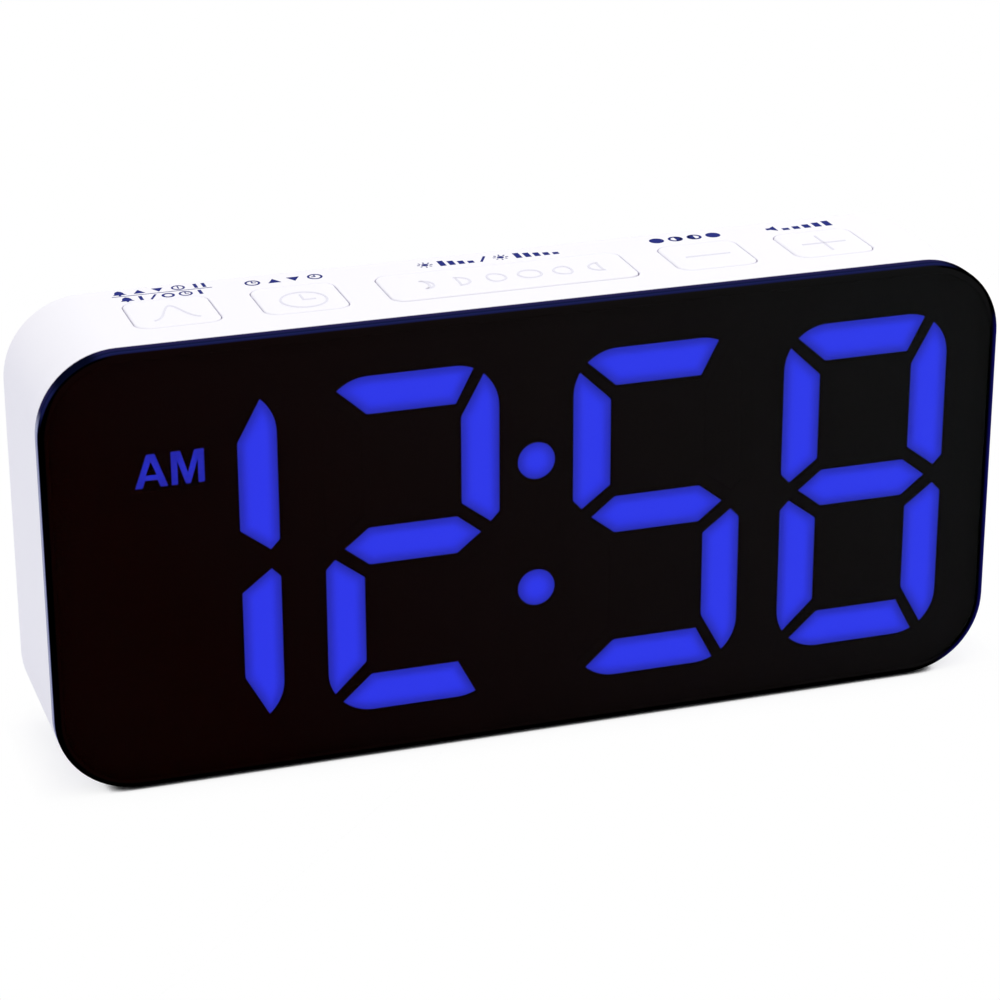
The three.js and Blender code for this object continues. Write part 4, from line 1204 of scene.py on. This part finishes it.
def bell_curve(x, y):
    """An open curve like the side of a bell: flat feet and a round top."""
    half, foot, height, spread, steps = 4.9, 4.5, 8.9, 2.6, 24
    points = []
    for k in range(steps + 1):
        u = -half + 2 * half * k / steps
        points.append((x + u, y - foot + height * math.exp(-((u / spread) ** 2))))
    return points


def moon_phase(radius, terminator):
    """Outline of a moon: a half circle, and an ellipse back to its start."""
    lit = arc(radius, 90, -90, 12)
    shade = [(terminator * u, v) for u, v in arc(radius, -90, 90, 12)]
    return lit + shade[1:-1]


def key_marks(name):
    """Raised lines on a key: (path, closed)."""
    middle = node_middle(f"{name}_key")
    x, y = middle.x, middle.y - 0.6
    reach, dial_radius = 5.2, 4.95
    if name == "alarm":
        return [(bell_curve(x + 0.2, y - 0.3), False)]
    if name == "time":
        x, y = x + 0.5, y - 1.1
        hands = [(x, y + 3.4), (x, y), (x + 2.6, y)]
        return [(circle(dial_radius, x, y, 40), True), (hands, False)]
    if name == "minus":
        return [([(x - reach, y), (x + reach, y)], False)]
    if name == "plus":
        arm = [(x - reach, y), (x + reach, y)]
        return [(arm, False), ([(x, y - reach), (x, y + reach)], False)]
    moon_radius, moon_step, first_moon = 2.6, 8.13, x - 19.45
    marks = []
    for k, terminator in enumerate((0.62, 0.05, -0.55, -0.98, -0.55, 0.05)):
        side = -1 if k > 3 else 1
        moon = [(side * u, v) for u, v in moon_phase(moon_radius, terminator)]
        marks.append((moved(moon, first_moon + moon_step * k, y), True))
    return marks


def make_key_mark(name, settings, material):
    top = node_box(f"{name}_key")[1].z
    sunk, shoulder = 0.06, 0.12
    base = top - settings.mark_height - sunk
    form = Form()
    for path, closed in key_marks(name):
        form.ridge(path, settings.mark_width, base, top, across_z, closed, shoulder)
    mark = form.object(f"{name}_key_mark")
    add_piece(mark, f"{name}_button", [material])


# Printed marks on the casing, behind the keys


class Print:
    """Flat marks of ink in one place on the casing's top."""

    def __init__(self, thickness):
        lift = 0.002
        self.form = Form()
        self.low = shell_high.z + lift
        self.high = shell_high.z + thickness

    def fill(self, outline):
        self.form.plate(outline, [], self.low, self.high, across_z)

    def line(self, path, width, closed=False):
        self.form.ridge(path, width, self.low, self.high, across_z, closed)

    def bell(self, x, y, h):
        side = [(0.5, -0.36), (0.36, -0.2), (0.31, 0.12), (0.2, 0.36), (0.0, 0.5)]
        outline = [(x + u * h, y + v * h) for u, v in side]
        outline += [(x - u * h, y + v * h) for u, v in reversed(side[:-1])]
        self.fill(outline)
        self.fill(circle(0.1 * h, x, y - 0.47 * h, 16))

    def clock(self, x, y, h, hour):
        radius = 0.43 * h
        self.line(circle(radius, x, y, 32), 0.14 * h, True)
        angle = math.radians(90 - 30 * hour)
        tip = (x + 0.55 * radius * math.cos(angle), y + 0.55 * radius * math.sin(angle))
        self.line([(x, y + 0.7 * radius), (x, y), tip], 0.1 * h)

    def arrow(self, x, y, h, way):
        half, foot = 0.42 * h, y - way * 0.36 * h
        self.fill([(x - half, foot), (x + half, foot), (x, y + way * 0.4 * h)])

    def bar(self, x, y, width, h):
        self.fill(rect(x - width / 2, x + width / 2, y - h / 2, y + h / 2))

    def slash(self, x, y, h):
        self.line([(x - 0.25 * h, y - 0.5 * h), (x + 0.25 * h, y + 0.5 * h)], 0.16 * h)

    def sun(self, x, y, h, rays):
        self.fill(circle(0.22 * h, x, y, 24))
        for k in range(rays):
            angle = math.tau * k / rays
            u, v = math.cos(angle), math.sin(angle)
            start, end = 0.32 * h, 0.5 * h
            self.line([(x + start * u, y + start * v), (x + end * u, y + end * v)], 0.1 * h)

    def speaker(self, x, y, h):
        outline = [(-0.4, -0.17), (-0.12, -0.17), (0.25, -0.48)]
        outline += [(0.25, 0.48), (-0.12, 0.17), (-0.4, 0.17)]
        self.fill([(x + u * h, y + v * h) for u, v in outline])

    def steps(self, x, y, h, count, pitch, rising):
        """Bars that rise or fall from left to right."""
        for k in range(count):
            share = (k + 1) / count if rising else (count - k) / count
            tall = h * (0.25 + 0.75 * share)
            self.bar(x + k * pitch, y - h / 2 + tall / 2, 0.62 * pitch, tall)


def print_alarm(marks, x, y):
    """Two rows with a line between them, a little wider than the key."""
    x += 1.25
    top_row, rule, low_row, h = y + 2.15, y + 0.1, y - 2.2, 3.0
    marks.bell(x - 9.3, top_row, h)
    marks.arrow(x - 5.0, top_row, h, 1)
    marks.arrow(x - 0.8, top_row, h, -1)
    marks.clock(x + 3.6, top_row, h, 6)
    marks.bar(x + 7.4, top_row, 0.75, h * 0.9)
    marks.bar(x + 9.2, top_row, 0.75, h * 0.9)
    marks.line([(x - 11.2, rule), (x + 10.6, rule)], 0.25)
    marks.bell(x - 8.5, low_row, h)
    marks.bar(x - 5.4, low_row, 0.75, h * 0.9)
    marks.slash(x - 2.7, low_row, h)
    marks.line(circle(1.15, x + 0.5, low_row, 28), 0.55, True)
    marks.clock(x + 4.3, low_row, h, 3)
    marks.bar(x + 7.5, low_row, 0.75, h * 0.9)


def print_time(marks, x, y):
    h = 3.4
    marks.clock(x - 7.0, y, h, 3)
    marks.arrow(x - 2.3, y, h, 1)
    marks.arrow(x + 2.2, y, h, -1)
    marks.clock(x + 6.9, y, h, 9)


def print_snooze(marks, x, y):
    x -= 0.4
    h = 3.5
    marks.sun(x - 14.2, y, h, 8)
    marks.steps(x - 10.4, y, h, 4, 2.15, False)
    marks.slash(x - 0.9, y, h)
    marks.sun(x + 3.2, y, h, 8)
    marks.steps(x + 7.1, y, h, 5, 2.15, False)


def print_minus(marks, x, y):
    radius = 1.7
    for k in range(4):
        u = x - 6.9 + 4.5 * k
        if k % 3 == 0:
            marks.fill(circle(radius, u, y, 28))
        else:
            marks.line(circle(radius - 0.3, u, y, 28), 0.6, True)
            start = -90 if k == 1 else 90
            marks.fill(arc(radius - 0.3, start, start + 180, 14, u, y))


def print_plus(marks, x, y):
    x += 0.4
    h = 3.5
    marks.speaker(x - 7.2, y, h)
    marks.steps(x - 4.2, y, h, 5, 2.6, True)


def make_prints(settings, material):
    draw = {
        "alarm": print_alarm,
        "time": print_time,
        "snooze": print_snooze,
        "minus": print_minus,
        "plus": print_plus,
    }
    for name in KEYS:
        marks = Print(settings.ink_height)
        draw[name](marks, node_middle(f"{name}_key").x, print_line)
        thing = marks.form.object(f"{name}_print")
        add_piece(thing, "clock", [material])


# Rear cover, its door and what shows at the back


def cover_forms(settings):
    """The cover's plate, and the tub, cup and standoffs at its inner side."""
    back, front = shell_high.y, shell_high.y - wall
    corner = body_corner - wall - fit_gap
    outline = box_outline(cover_low, cover_high, corner, steps=settings.arc_steps)
    edge = rounded_edge(2 * settings.seam_rounding, back, 1, 4)
    plate = Form().layered(outline, [(0.0, front)] + edge, across_y)
    joins = Form()
    low, high = node_box("battery_door")
    tub_wall, cell_gap = 1.2, 0.45
    beside = tub_wall + fit_gap
    tub = rect(
        low.x + hinge_pin_reach - beside,
        high.x - hinge_pin_reach + beside,
        low.z - beside,
        high.z + beside,
    )
    tub_front = max(cover_low.y, node_box("cell_1")[0].y - cell_gap - tub_wall)
    joins.prism(tub, tub_front, front + bite, across_y)
    speaker = node_middle("speaker_basket")
    cup_wall, cup_depth = 1.2, 4.0
    cup_radius = half_width("speaker_basket") + fit_gap + cup_wall
    joins.rod(cup_radius, front - cup_depth, front + bite, across_y, speaker.x, speaker.z, 48)
    standoff_radius = 2.6
    board_back = node_box("main_board")[1].y + film_gap
    for k in (1, 2):
        screw = node_middle(f"board_screw_{k}")
        joins.rod(standoff_radius, board_back, front + bite, across_y, screw.x, screw.z)
    return plate, joins


def cover_cuts(settings):
    """Vents, grille, screw seats, inlet hole, speaker seat and pilot holes."""
    cuts = Form()
    back, front = shell_high.y, shell_high.y - wall
    flare = settings.hole_rounding * 0.8

    def opening(outline, bottom):
        cuts.layered(outline, [(0.0, bottom)] + flared_edge(flare, back, 1), across_y)

    speaker = node_middle("speaker_basket")
    grille_hole, grille_step = 1.3, 4.8
    opening(circle(grille_hole, speaker.x, speaker.z, 24), front - 1)
    for ring in (1, 2):
        reach = grille_step * ring
        for k in range(6 * ring):
            angle = math.tau * k / (6 * ring)
            x, z = speaker.x + reach * math.cos(angle), speaker.z + reach * math.sin(angle)
            opening(circle(grille_hole, x, z, 24), front - 1)
    vent_width, vent_height, vent_corner, vent_step = 2.0, 12.0, 0.96, 5.5
    vent_middle = shell_low.z + 78.0
    for k in range(-5, 6):
        vent = rounded_rect(vent_width, vent_height, vent_corner, k * vent_step, vent_middle, 6)
        opening(vent, front - 1)
    seat_radius, head_sunk = 3.1, 0.2
    for place in screw_places():
        cuts.rod(cover_pilot, front - 1, back, across_y, place.x, place.z)
        seat = back - head_sunk - screw_head_thickness - film_gap
        opening(circle(seat_radius, place.x, place.z, 32), seat)
    inlet = node_middle("power_inlet")
    inlet_hole = 4.3
    opening(circle(inlet_hole, inlet.x, inlet.z, 40), front - 1)
    seat_radius, seat_depth = half_width("speaker_basket") + fit_gap, 6.0
    cuts.rod(seat_radius, front - seat_depth, front, across_y, speaker.x, speaker.z, 48)
    board_back, pilot_depth = node_box("main_board")[1].y, 6.0
    for k in (1, 2):
        screw = node_middle(f"board_screw_{k}")
        cuts.rod(board_pilot, board_back - 1, board_back + pilot_depth, across_y, screw.x, screw.z)
    return cuts


def compartment_cuts():
    """The door's recess, the room for the cells, the pins' bores and the nail notch."""
    back = shell_high.y
    low, high = node_box("battery_door")
    left, right = low.x + hinge_pin_reach, high.x - hinge_pin_reach
    middle = (left + right) / 2
    ledge = low.y - fit_gap
    corner = 0.8
    width, height = right - left + 2 * fit_gap, high.z - low.z + 2 * fit_gap
    outline = rounded_rect(width, height, corner, middle, (low.z + high.z) / 2, 5)
    recess = Form().layered(outline, [(0.0, ledge)] + flared_edge(0.2, back, 1), across_y)
    cell_boxes = [node_box(node) for node in ("cell_1", "cell_2")]
    end_gap = 0.1
    space = rect(
        node_box("cell_bridge")[0].x - end_gap,
        node_box("cell_terminal_1")[1].x + end_gap,
        min(box[0].z for box in cell_boxes) - 2 * fit_gap,
        max(box[1].z for box in cell_boxes) + 2 * fit_gap,
    )
    room = Form().prism(space, cell_boxes[0][0].y - 1.5 * fit_gap, ledge + 1, across_y)
    hinge = hinge_point()
    bore_radius = 0.8
    bore = Form().prism(
        circle(bore_radius, hinge.y, hinge.z, 24), low.x - fit_gap, high.x + fit_gap, across_x
    )
    notch_width, notch_height, notch_depth = 14.0, 6.0, 1.4
    outline = rounded_rect(notch_width, notch_height, corner, middle, low.z, 5)
    layers = [(0.0, back - notch_depth)] + flared_edge(0.25, back, 1)
    notch = Form().layered(outline, layers, across_y)
    return recess, room, bore, notch


def hinge_point():
    """A point on the battery door's axis, in millimetres."""
    joint = next(joint for joint in frame["joints"] if joint["name"] == "door_hinge")
    return Vector(joint["pos_m"]) / MM


def make_cover(settings, material):
    plate, joins = cover_forms(settings)
    cover = plate.object("cover_skin")
    combine(cover, joins, "UNION")
    combine(cover, cover_cuts(settings), "DIFFERENCE")
    for form in compartment_cuts():
        combine(cover, form, "DIFFERENCE")
    add_piece(cover, "clock", [material], ["rear_cover"])


def make_door(material):
    """The battery door: round along its hinge, with two pins and four grip grooves."""
    low, high = node_box("battery_door")
    left, right = low.x + hinge_pin_reach, high.x - hinge_pin_reach
    hinge = hinge_point()
    radius = (high.y - low.y) / 2
    edge, end = 0.25, 0.2
    profile = arc(radius, 0, 180, 16, hinge.y, hinge.z)
    profile += arc(edge, 180, 270, 4, low.y + edge, low.z + edge)
    profile += arc(edge, 270, 360, 4, high.y - edge, low.z + edge)
    layers = [(end, left), (end / 4, left + end / 4), (0.0, left + end)]
    layers += [(0.0, right - end), (end / 4, right - end / 4), (end, right)]
    door = Form().layered(profile, layers, across_x).object("door_skin")
    pins = Form()
    pin_radius = 0.7
    for start, stop in ((low.x, left + 1), (right - 1, high.x)):
        pins.prism(circle(pin_radius, hinge.y, hinge.z, 24), start, stop, across_x)
    combine(door, pins, "UNION")
    grips = Form()
    grip_width, grip_height, grip_depth, grip_step = 14.0, 0.9, 0.45, 2.0
    middle = (left + right) / 2
    for k in (1, 2, 3, 4):
        groove = rounded_rect(grip_width, grip_height, 0.4, middle, low.z + k * grip_step, 5)
        grips.layered(groove, [(0.0, high.y - grip_depth)] + flared_edge(0.15, high.y, 1), across_y)
    combine(door, grips, "DIFFERENCE")
    add_piece(door, "door", [material], ["battery_door"])


def cross_groove(x, z, angle, front, size):
    """One groove of a screw's cross, narrower at its bottom."""
    cosine, sine = math.cos(angle), math.sin(angle)
    rings = []
    for share, depth in ((0.55, 0.85), (1.0, -0.2)):
        reach, half = size[0] * share, size[1] * share
        corners = rect(-reach, reach, -half, half)
        ring = [(x + u * cosine - v * sine, z + u * sine + v * cosine) for u, v in corners]
        rings.append(across_y(ring, front - depth))
    return Form().loft(rings)


def make_cover_screws(material):
    """Domed heads with a cross, each turned its own way, on their shanks."""
    shank_radius, point_radius, point_length = 1.25, 0.6, 1.2
    groove_size = (1.7, 0.38)
    for k, node in enumerate(COVER_SCREWS, start=1):
        low, high = node_box(node)
        x, z = (low.x + high.x) / 2, (low.z + high.z) / 2
        head, top = half_width(node), high.y
        profile = [(head, top - screw_head_thickness), (head, top - 0.5), (head - 0.12, top - 0.3)]
        profile += [(head - 0.5, top - 0.12), (head - 1.2, top - 0.03), (0.3, top)]
        screw = Form().turned(profile, across_y, x, z).object(f"cover_screw_head_{k}")
        shank = [(point_radius, low.y), (shank_radius, low.y + point_length)]
        shank.append((shank_radius, top - 1.0))
        combine(screw, Form().turned(shank, across_y, x, z, 24), "UNION")
        for quarter in (0, 90):
            angle = math.radians(17 + 38 * k + quarter)
            combine(screw, cross_groove(x, z, angle, top, groove_size), "DIFFERENCE")
        add_piece(screw, "clock", [material], [node])


def make_inlet(black, steel):
    """The inlet's housing with its nose and bore, and the pin in its middle."""
    low, high = node_box("power_inlet")
    x, z = (low.x + high.x) / 2, (low.z + high.z) / 2
    top, base = high.y, shell_high.y - wall - fit_gap
    nose, bore_radius, bore_depth, bevel = 4.0, 2.85, 9.5, 0.25
    housing = box_outline(low, high, 0.5, steps=4)
    form = Form().layered(housing, [(bevel, low.y), (0.0, low.y + bevel), (0.0, base)], across_y)
    inlet = form.object("inlet_body")
    ring = [(nose, base - bite), (nose, top - 0.35), (nose - 0.1, top - 0.1), (nose - 0.35, top)]
    combine(inlet, Form().turned(ring, across_y, x, z), "UNION")
    bore = [(0.0, top - bore_depth)] + flared_edge(0.3, top, 1)
    combine(inlet, Form().layered(circle(bore_radius, x, z, 40), bore, across_y), "DIFFERENCE")
    add_piece(inlet, "clock", [black], ["power_inlet"])
    low, high = node_box("inlet_pin")
    radius, top = half_width("inlet_pin"), high.y
    profile = [(radius, low.y), (radius, top - 0.6)]
    profile += [(radius * 0.8, top - 0.2), (radius * 0.35, top)]
    pin = Form().turned(profile, across_y, x, z, 24).object("inlet_contact")
    add_piece(pin, "clock", [steel], ["inlet_pin"])


def make_cells():
    """Two small cells, side by side and the other way round."""
    nub, nub_length = 1.9, 0.9
    sleeve_blue = (0.05, 0.1, 0.26)
    bare_base, bare_top = 1.4, 1.9
    for k, way in ((1, 1), (2, -1)):
        node = f"cell_{k}"
        low, high = node_box(node)
        y, z = (low.y + high.y) / 2, (low.z + high.z) / 2
        radius = (high.z - low.z) / 2
        base, tip = (low.x, high.x) if way > 0 else (high.x, low.x)
        shoulder = tip - way * nub_length
        profile = [(radius - 1.2, base), (radius - 0.45, base + way * 0.08)]
        profile += [(radius - 0.1, base + way * 0.3), (radius, base + way * 0.6)]
        profile += [(radius, shoulder - way * 0.6), (radius - 0.1, shoulder - way * 0.2)]
        profile += [(radius - 0.5, shoulder), (nub + 0.1, shoulder)]
        profile += [(nub, shoulder + way * 0.1), (nub, tip - way * 0.2), (nub - 0.25, tip)]
        cell = Form().turned(profile, across_x, y, z, 48).object(f"cell_can_{k}")
        look = sleeve(f"cell_sleeve_{k}", sleeve_blue, low.x + bare_base, high.x - bare_top)
        add_piece(cell, "clock", [look], [node])


# Insides keep their shape, and get their finish


def finish_nodes():
    looks = {
        "reflector": plastic("reflector_plastic", (0.82, 0.82, 0.8), (0.5, 0.62), 900.0, 0.01),
        "board": circuit_board("solder_mask", (0.02, 0.15, 0.07), (0.05, 0.28, 0.12)),
        "component": plastic("component_resin", (0.015, 0.015, 0.016), (0.4, 0.55), 1600.0, 0.01),
        "plunger": plastic("plunger_plastic", (0.26, 0.27, 0.28), (0.4, 0.5)),
        "steel": plated("zinc_plate", (0.55, 0.56, 0.58), (0.22, 0.36)),
        "magnet": plastic(
            "sintered_ferrite", (0.09, 0.09, 0.1), (0.5, 0.65), 700.0, 0.02, metal=0.3
        ),
        "cone": plastic("coated_film", (0.014, 0.014, 0.016), (0.7, 0.85), 500.0, 0.03),
        "lead": plastic("lead_sleeve", (0.35, 0.02, 0.015), (0.45, 0.55), 900.0, 0.006),
    }
    for part in frame["record"]["subparts"]:
        node = frame["nodes"][part["node"]]
        look = looks.get(part["material_slot"])
        if look is None or node.hide_render:
            continue
        for slot in node.material_slots:
            slot.material = look


# Stage


def openness(tree, side, reach):
    """How free the floor is of things within reach, as seen towards one side."""
    normal = add_node(tree, "ShaderNodeCombineXYZ", enumerate(side)).outputs[0]
    inputs = [("Distance", reach), ("Normal", normal)]
    return add_node(tree, "ShaderNodeAmbientOcclusion", inputs, samples=8).outputs["AO"]


def mix_surfaces(tree, factor, first, second, end):
    mixed = add_node(tree, "ShaderNodeMixShader", [(0, factor), (1, first), (2, second)])
    feed(tree, tree.nodes[end], [("Surface", mixed.outputs[0])])


def make_floor(settings):
    """A plain pale floor, which keeps the clock's shadow and turns to white away from it."""
    floor = bpy.data.meshes.new("floor")
    reach = 6.0
    corners = across_z(rect(-reach, reach, -reach, reach), 0.0)
    floor.from_pydata(corners, [], [(0, 1, 2, 3)])
    thing = bpy.data.objects.new("floor", floor)
    bpy.context.scene.collection.objects.link(thing)
    material, tree, shader, _ = start_material("pale_floor")
    contact_reach, left_reach, right_reach = 0.0025, 0.012, 0.015
    contact = openness(tree, (0.0, 0.0, 1.0), contact_reach)
    beside_contact = in_range(tree, contact, 0.36, 0.42)
    left = openness(tree, (0.8, -0.5, 0.35), left_reach)
    right = openness(tree, (-0.8, -0.5, 0.35), right_reach)
    whiteness = add_node(tree, "ShaderNodeLightPath").outputs["Is Camera Ray"]
    for clear in (
        beside_contact,
        in_range(tree, contact, 0.42, 0.75, low=0.76),
        in_range(tree, left, 0.35, 0.92, low=0.72),
        in_range(tree, right, 0.35, 0.92, low=0.6),
    ):
        whiteness = number_step(tree, "MULTIPLY", whiteness, clear)
    # Painted shadow: close under the clock the floor's colour turns near black
    painted_shadow_under_clock = (0.02, 0.02, 0.025)
    shade = mix_colours(tree, beside_contact, painted_shadow_under_clock, settings.floor)
    feed(tree, shader, [("Base Color", shade), ("Roughness", 0.9), ("Specular IOR Level", 0.0)])
    white = add_node(tree, "ShaderNodeEmission").outputs[0]
    mix_surfaces(tree, whiteness, shader.outputs[0], white, "Material Output")
    floor.materials.append(material)


def make_sky(settings):
    """Even light from all sides; the background itself shows as white."""
    world = bpy.data.worlds.new("studio")
    bpy.context.scene.world = world
    world.use_nodes = True
    tree = world.node_tree
    path = add_node(tree, "ShaderNodeLightPath").outputs
    seen = path["Is Camera Ray"]
    for name in ("Is Glossy Ray", "Is Transmission Ray"):
        seen = number_step(tree, "MAXIMUM", seen, path[name])
    light = tree.nodes["Background"]
    feed(tree, light, [("Color", settings.sky_colour), ("Strength", settings.sky)])
    white = add_node(tree, "ShaderNodeBackground", [("Color", (1.0, 1.0, 1.0))]).outputs[0]
    mix_surfaces(tree, seen, light.outputs[0], white, "World Output")


def add_lamp(name, place, size, level, tint=(1.0, 1.0, 1.0)):
    """A soft lamp that points at the clock. Its level is the light on a surface that faces it."""
    lamp = bpy.data.lights.new(name, "AREA")
    lamp.shape = "RECTANGLE"
    lamp.size, lamp.size_y = size
    lamp.color = tint
    target = Vector((0.0, 0.0, 0.05))
    towards = target - Vector(place)
    lamp.energy = level * math.pi**2 * towards.length_squared
    thing = bpy.data.objects.new(name, lamp)
    thing.location = place
    thing.rotation_euler = towards.to_track_quat("-Z", "Y").to_euler()
    bpy.context.scene.collection.objects.link(thing)


def make_camera(settings):
    """The camera, from its place and its turn about the upright, across and along its view."""
    yaw, pitch, roll = 0.3165, -0.3879, -0.0032
    place = Vector((-208.83, -630.71, 318.77)) * MM
    run = math.cos(pitch)
    forward = Vector((math.sin(yaw) * run, math.cos(yaw) * run, math.sin(pitch)))
    right = Vector((math.cos(yaw), -math.sin(yaw), 0.0))
    up = right.cross(forward)
    rolled_right = right * math.cos(roll) + up * math.sin(roll)
    rolled_up = up * math.cos(roll) - right * math.sin(roll)
    turn = Matrix((rolled_right, rolled_up, -forward)).transposed().to_4x4()
    camera = bpy.data.cameras.new("camera")
    camera.lens = settings.focal_length
    camera.sensor_width = 36.0
    camera.clip_start = 0.01
    thing = bpy.data.objects.new("camera", camera)
    thing.matrix_world = Matrix.Translation(place) @ turn
    bpy.context.scene.collection.objects.link(thing)
    bpy.context.scene.camera = thing


# Operators


class CLOCK_OT_casing(bpy.types.Operator):
    """Build the shell and its feet"""

    bl_idname = "clock.casing"
    bl_label = "Casing"

    def execute(self, context):
        settings = context.scene.clock_casing
        shell_white = plastic(
            "shell_white",
            settings.plastic,
            (0.4, 0.5),
            drift=0.012,
            shade=settings.shade,
            seam=settings.seam,
        )
        rubber = plastic("foot_rubber", settings.feet, (0.75, 0.9), 500.0, 0.03)
        make_shell(settings, shell_white)
        make_feet(rubber)
        return {"FINISHED"}


class CLOCK_OT_display(bpy.types.Operator):
    """Build the front lens and the mask behind it"""

    bl_idname = "clock.display"
    bl_label = "Lens and mask"

    def execute(self, context):
        settings = context.scene.clock_display
        steps = context.scene.clock_casing.arc_steps
        edge = lens_edge_painted_light(settings)
        make_lens(settings, steps, smoked_lens(settings), edge)
        black = plastic("mask_black", (0.0023, 0.0012, 0.0009), (0.5, 0.6), specular=0.0)
        make_mask(steps, black, edge)
        return {"FINISHED"}


class CLOCK_OT_figures(bpy.types.Operator):
    """Build the lit figures, the colon and the half-day letters"""

    bl_idname = "clock.figures"
    bl_label = "Figures"

    def execute(self, context):
        settings = context.scene.clock_display
        lit = lit_pad("lit_diffuser", settings.rim, settings.centre)
        letters = lit_pad("lit_letters", settings.letters, settings.letter_middle)
        dark = plastic("dark_diffuser", (0.0023, 0.0012, 0.0009), (0.5, 0.6), specular=0.0)
        small_corner, colon_corner = 1.0, 4.2
        segments = figure_segments()
        for node, x, z, names, lit_names in figures():
            outlines = [(name, moved(segments[name], x, z)) for name in names]
            corner = figure_corner if len(names) > 2 else small_corner
            make_figure(settings, node, outlines, corner, lit_names, lit, dark)
        dots = [("dot", outline) for outline in colon_dots()]
        make_figure(settings, "colon_diffuser", dots, colon_corner, ["dot"], lit, dark)
        make_half_day(settings, letters, dark)
        return {"FINISHED"}


class CLOCK_OT_keys(bpy.types.Operator):
    """Build the five keys and their raised marks"""

    bl_idname = "clock.keys"
    bl_label = "Keys"

    def execute(self, context):
        settings = context.scene.clock_keys
        shade = context.scene.clock_casing.shade
        cap = plastic("key_white", settings.plastic, (0.38, 0.46), drift=0.012, shade=shade)
        mark = plastic("key_mark", settings.mark, (0.38, 0.46), drift=0.012, shade=shade)
        for name in KEYS:
            make_key(name, settings, cap)
            make_key_mark(name, settings, mark)
        return {"FINISHED"}


class CLOCK_OT_prints(bpy.types.Operator):
    """Print the marks behind the keys"""

    bl_idname = "clock.prints"
    bl_label = "Printed marks"

    def execute(self, context):
        settings = context.scene.clock_keys
        rough = (0.5, 0.65)
        ink = plastic("navy_ink", settings.ink, rough, 2200.0, 0.004, drift=0.25, specular=0.0)
        make_prints(settings, ink)
        return {"FINISHED"}


class CLOCK_OT_rear(bpy.types.Operator):
    """Build the rear cover, the battery door, the screws, the inlet and the cells"""

    bl_idname = "clock.rear"
    bl_label = "Rear"

    def execute(self, context):
        settings = context.scene.clock_casing
        rough = (0.4, 0.5)
        white = plastic("moulded_white", settings.plastic, rough, drift=0.012, shade=settings.shade)
        steel = plated("screw_plate", (0.55, 0.56, 0.58), (0.2, 0.34))
        black = plastic("inlet_resin", (0.015, 0.015, 0.016), (0.3, 0.42))
        make_cover(settings, white)
        make_door(white)
        make_cover_screws(steel)
        make_inlet(black, steel)
        make_cells()
        return {"FINISHED"}


class CLOCK_OT_insides(bpy.types.Operator):
    """Give the boards, switches, speaker and other inner parts their finish"""

    bl_idname = "clock.insides"
    bl_label = "Insides"

    def execute(self, context):
        finish_nodes()
        return {"FINISHED"}


class CLOCK_OT_stage(bpy.types.Operator):
    """Make the floor, the light and the camera"""

    bl_idname = "clock.stage"
    bl_label = "Stage"

    def execute(self, context):
        settings = context.scene.clock_stage
        context.scene.view_settings.view_transform = "Standard"
        make_floor(settings)
        make_sky(settings)
        add_lamp(
            "key_lamp",
            place=(0.15, -0.35, 1.75),
            size=(1.2, 0.9),
            level=settings.key_light,
            tint=settings.key_colour,
        )
        add_lamp("fill_lamp", place=(1.1, 0.9, 0.9), size=(1.0, 1.0), level=settings.fill_light)
        make_camera(settings)
        return {"FINISHED"}


class CLOCK_PT_panel(bpy.types.Panel):
    """Lists the clock's pieces"""

    bl_idname = "CLOCK_PT_panel"
    bl_label = "Digital alarm clock"
    bl_space_type = "VIEW_3D"
    bl_region_type = "UI"
    bl_category = "Clock"

    def draw(self, context):
        for operator in operators:
            self.layout.operator(operator.bl_idname)


operators = (
    CLOCK_OT_stage,
    CLOCK_OT_casing,
    CLOCK_OT_display,
    CLOCK_OT_figures,
    CLOCK_OT_keys,
    CLOCK_OT_prints,
    CLOCK_OT_rear,
    CLOCK_OT_insides,
)
groups = {
    "clock_casing": ClockCasingSettings,
    "clock_keys": ClockKeySettings,
    "clock_display": ClockDisplaySettings,
    "clock_stage": ClockStageSettings,
}


def register():
    for name, group in groups.items():
        bpy.utils.register_class(group)
        setattr(bpy.types.Scene, name, PointerProperty(type=group))
    for operator in operators:
        bpy.utils.register_class(operator)
    bpy.utils.register_class(CLOCK_PT_panel)


def unregister():
    bpy.utils.unregister_class(CLOCK_PT_panel)
    for operator in reversed(operators):
        bpy.utils.unregister_class(operator)
    for name, group in reversed(groups.items()):
        delattr(bpy.types.Scene, name)
        bpy.utils.unregister_class(group)


def main():
    register()
    bpy.ops.clock.stage()
    bpy.ops.clock.casing()
    bpy.ops.clock.display()
    bpy.ops.clock.figures()
    bpy.ops.clock.keys()
    bpy.ops.clock.prints()
    bpy.ops.clock.rear()
    bpy.ops.clock.insides()


if __name__ == "__main__":
    main()
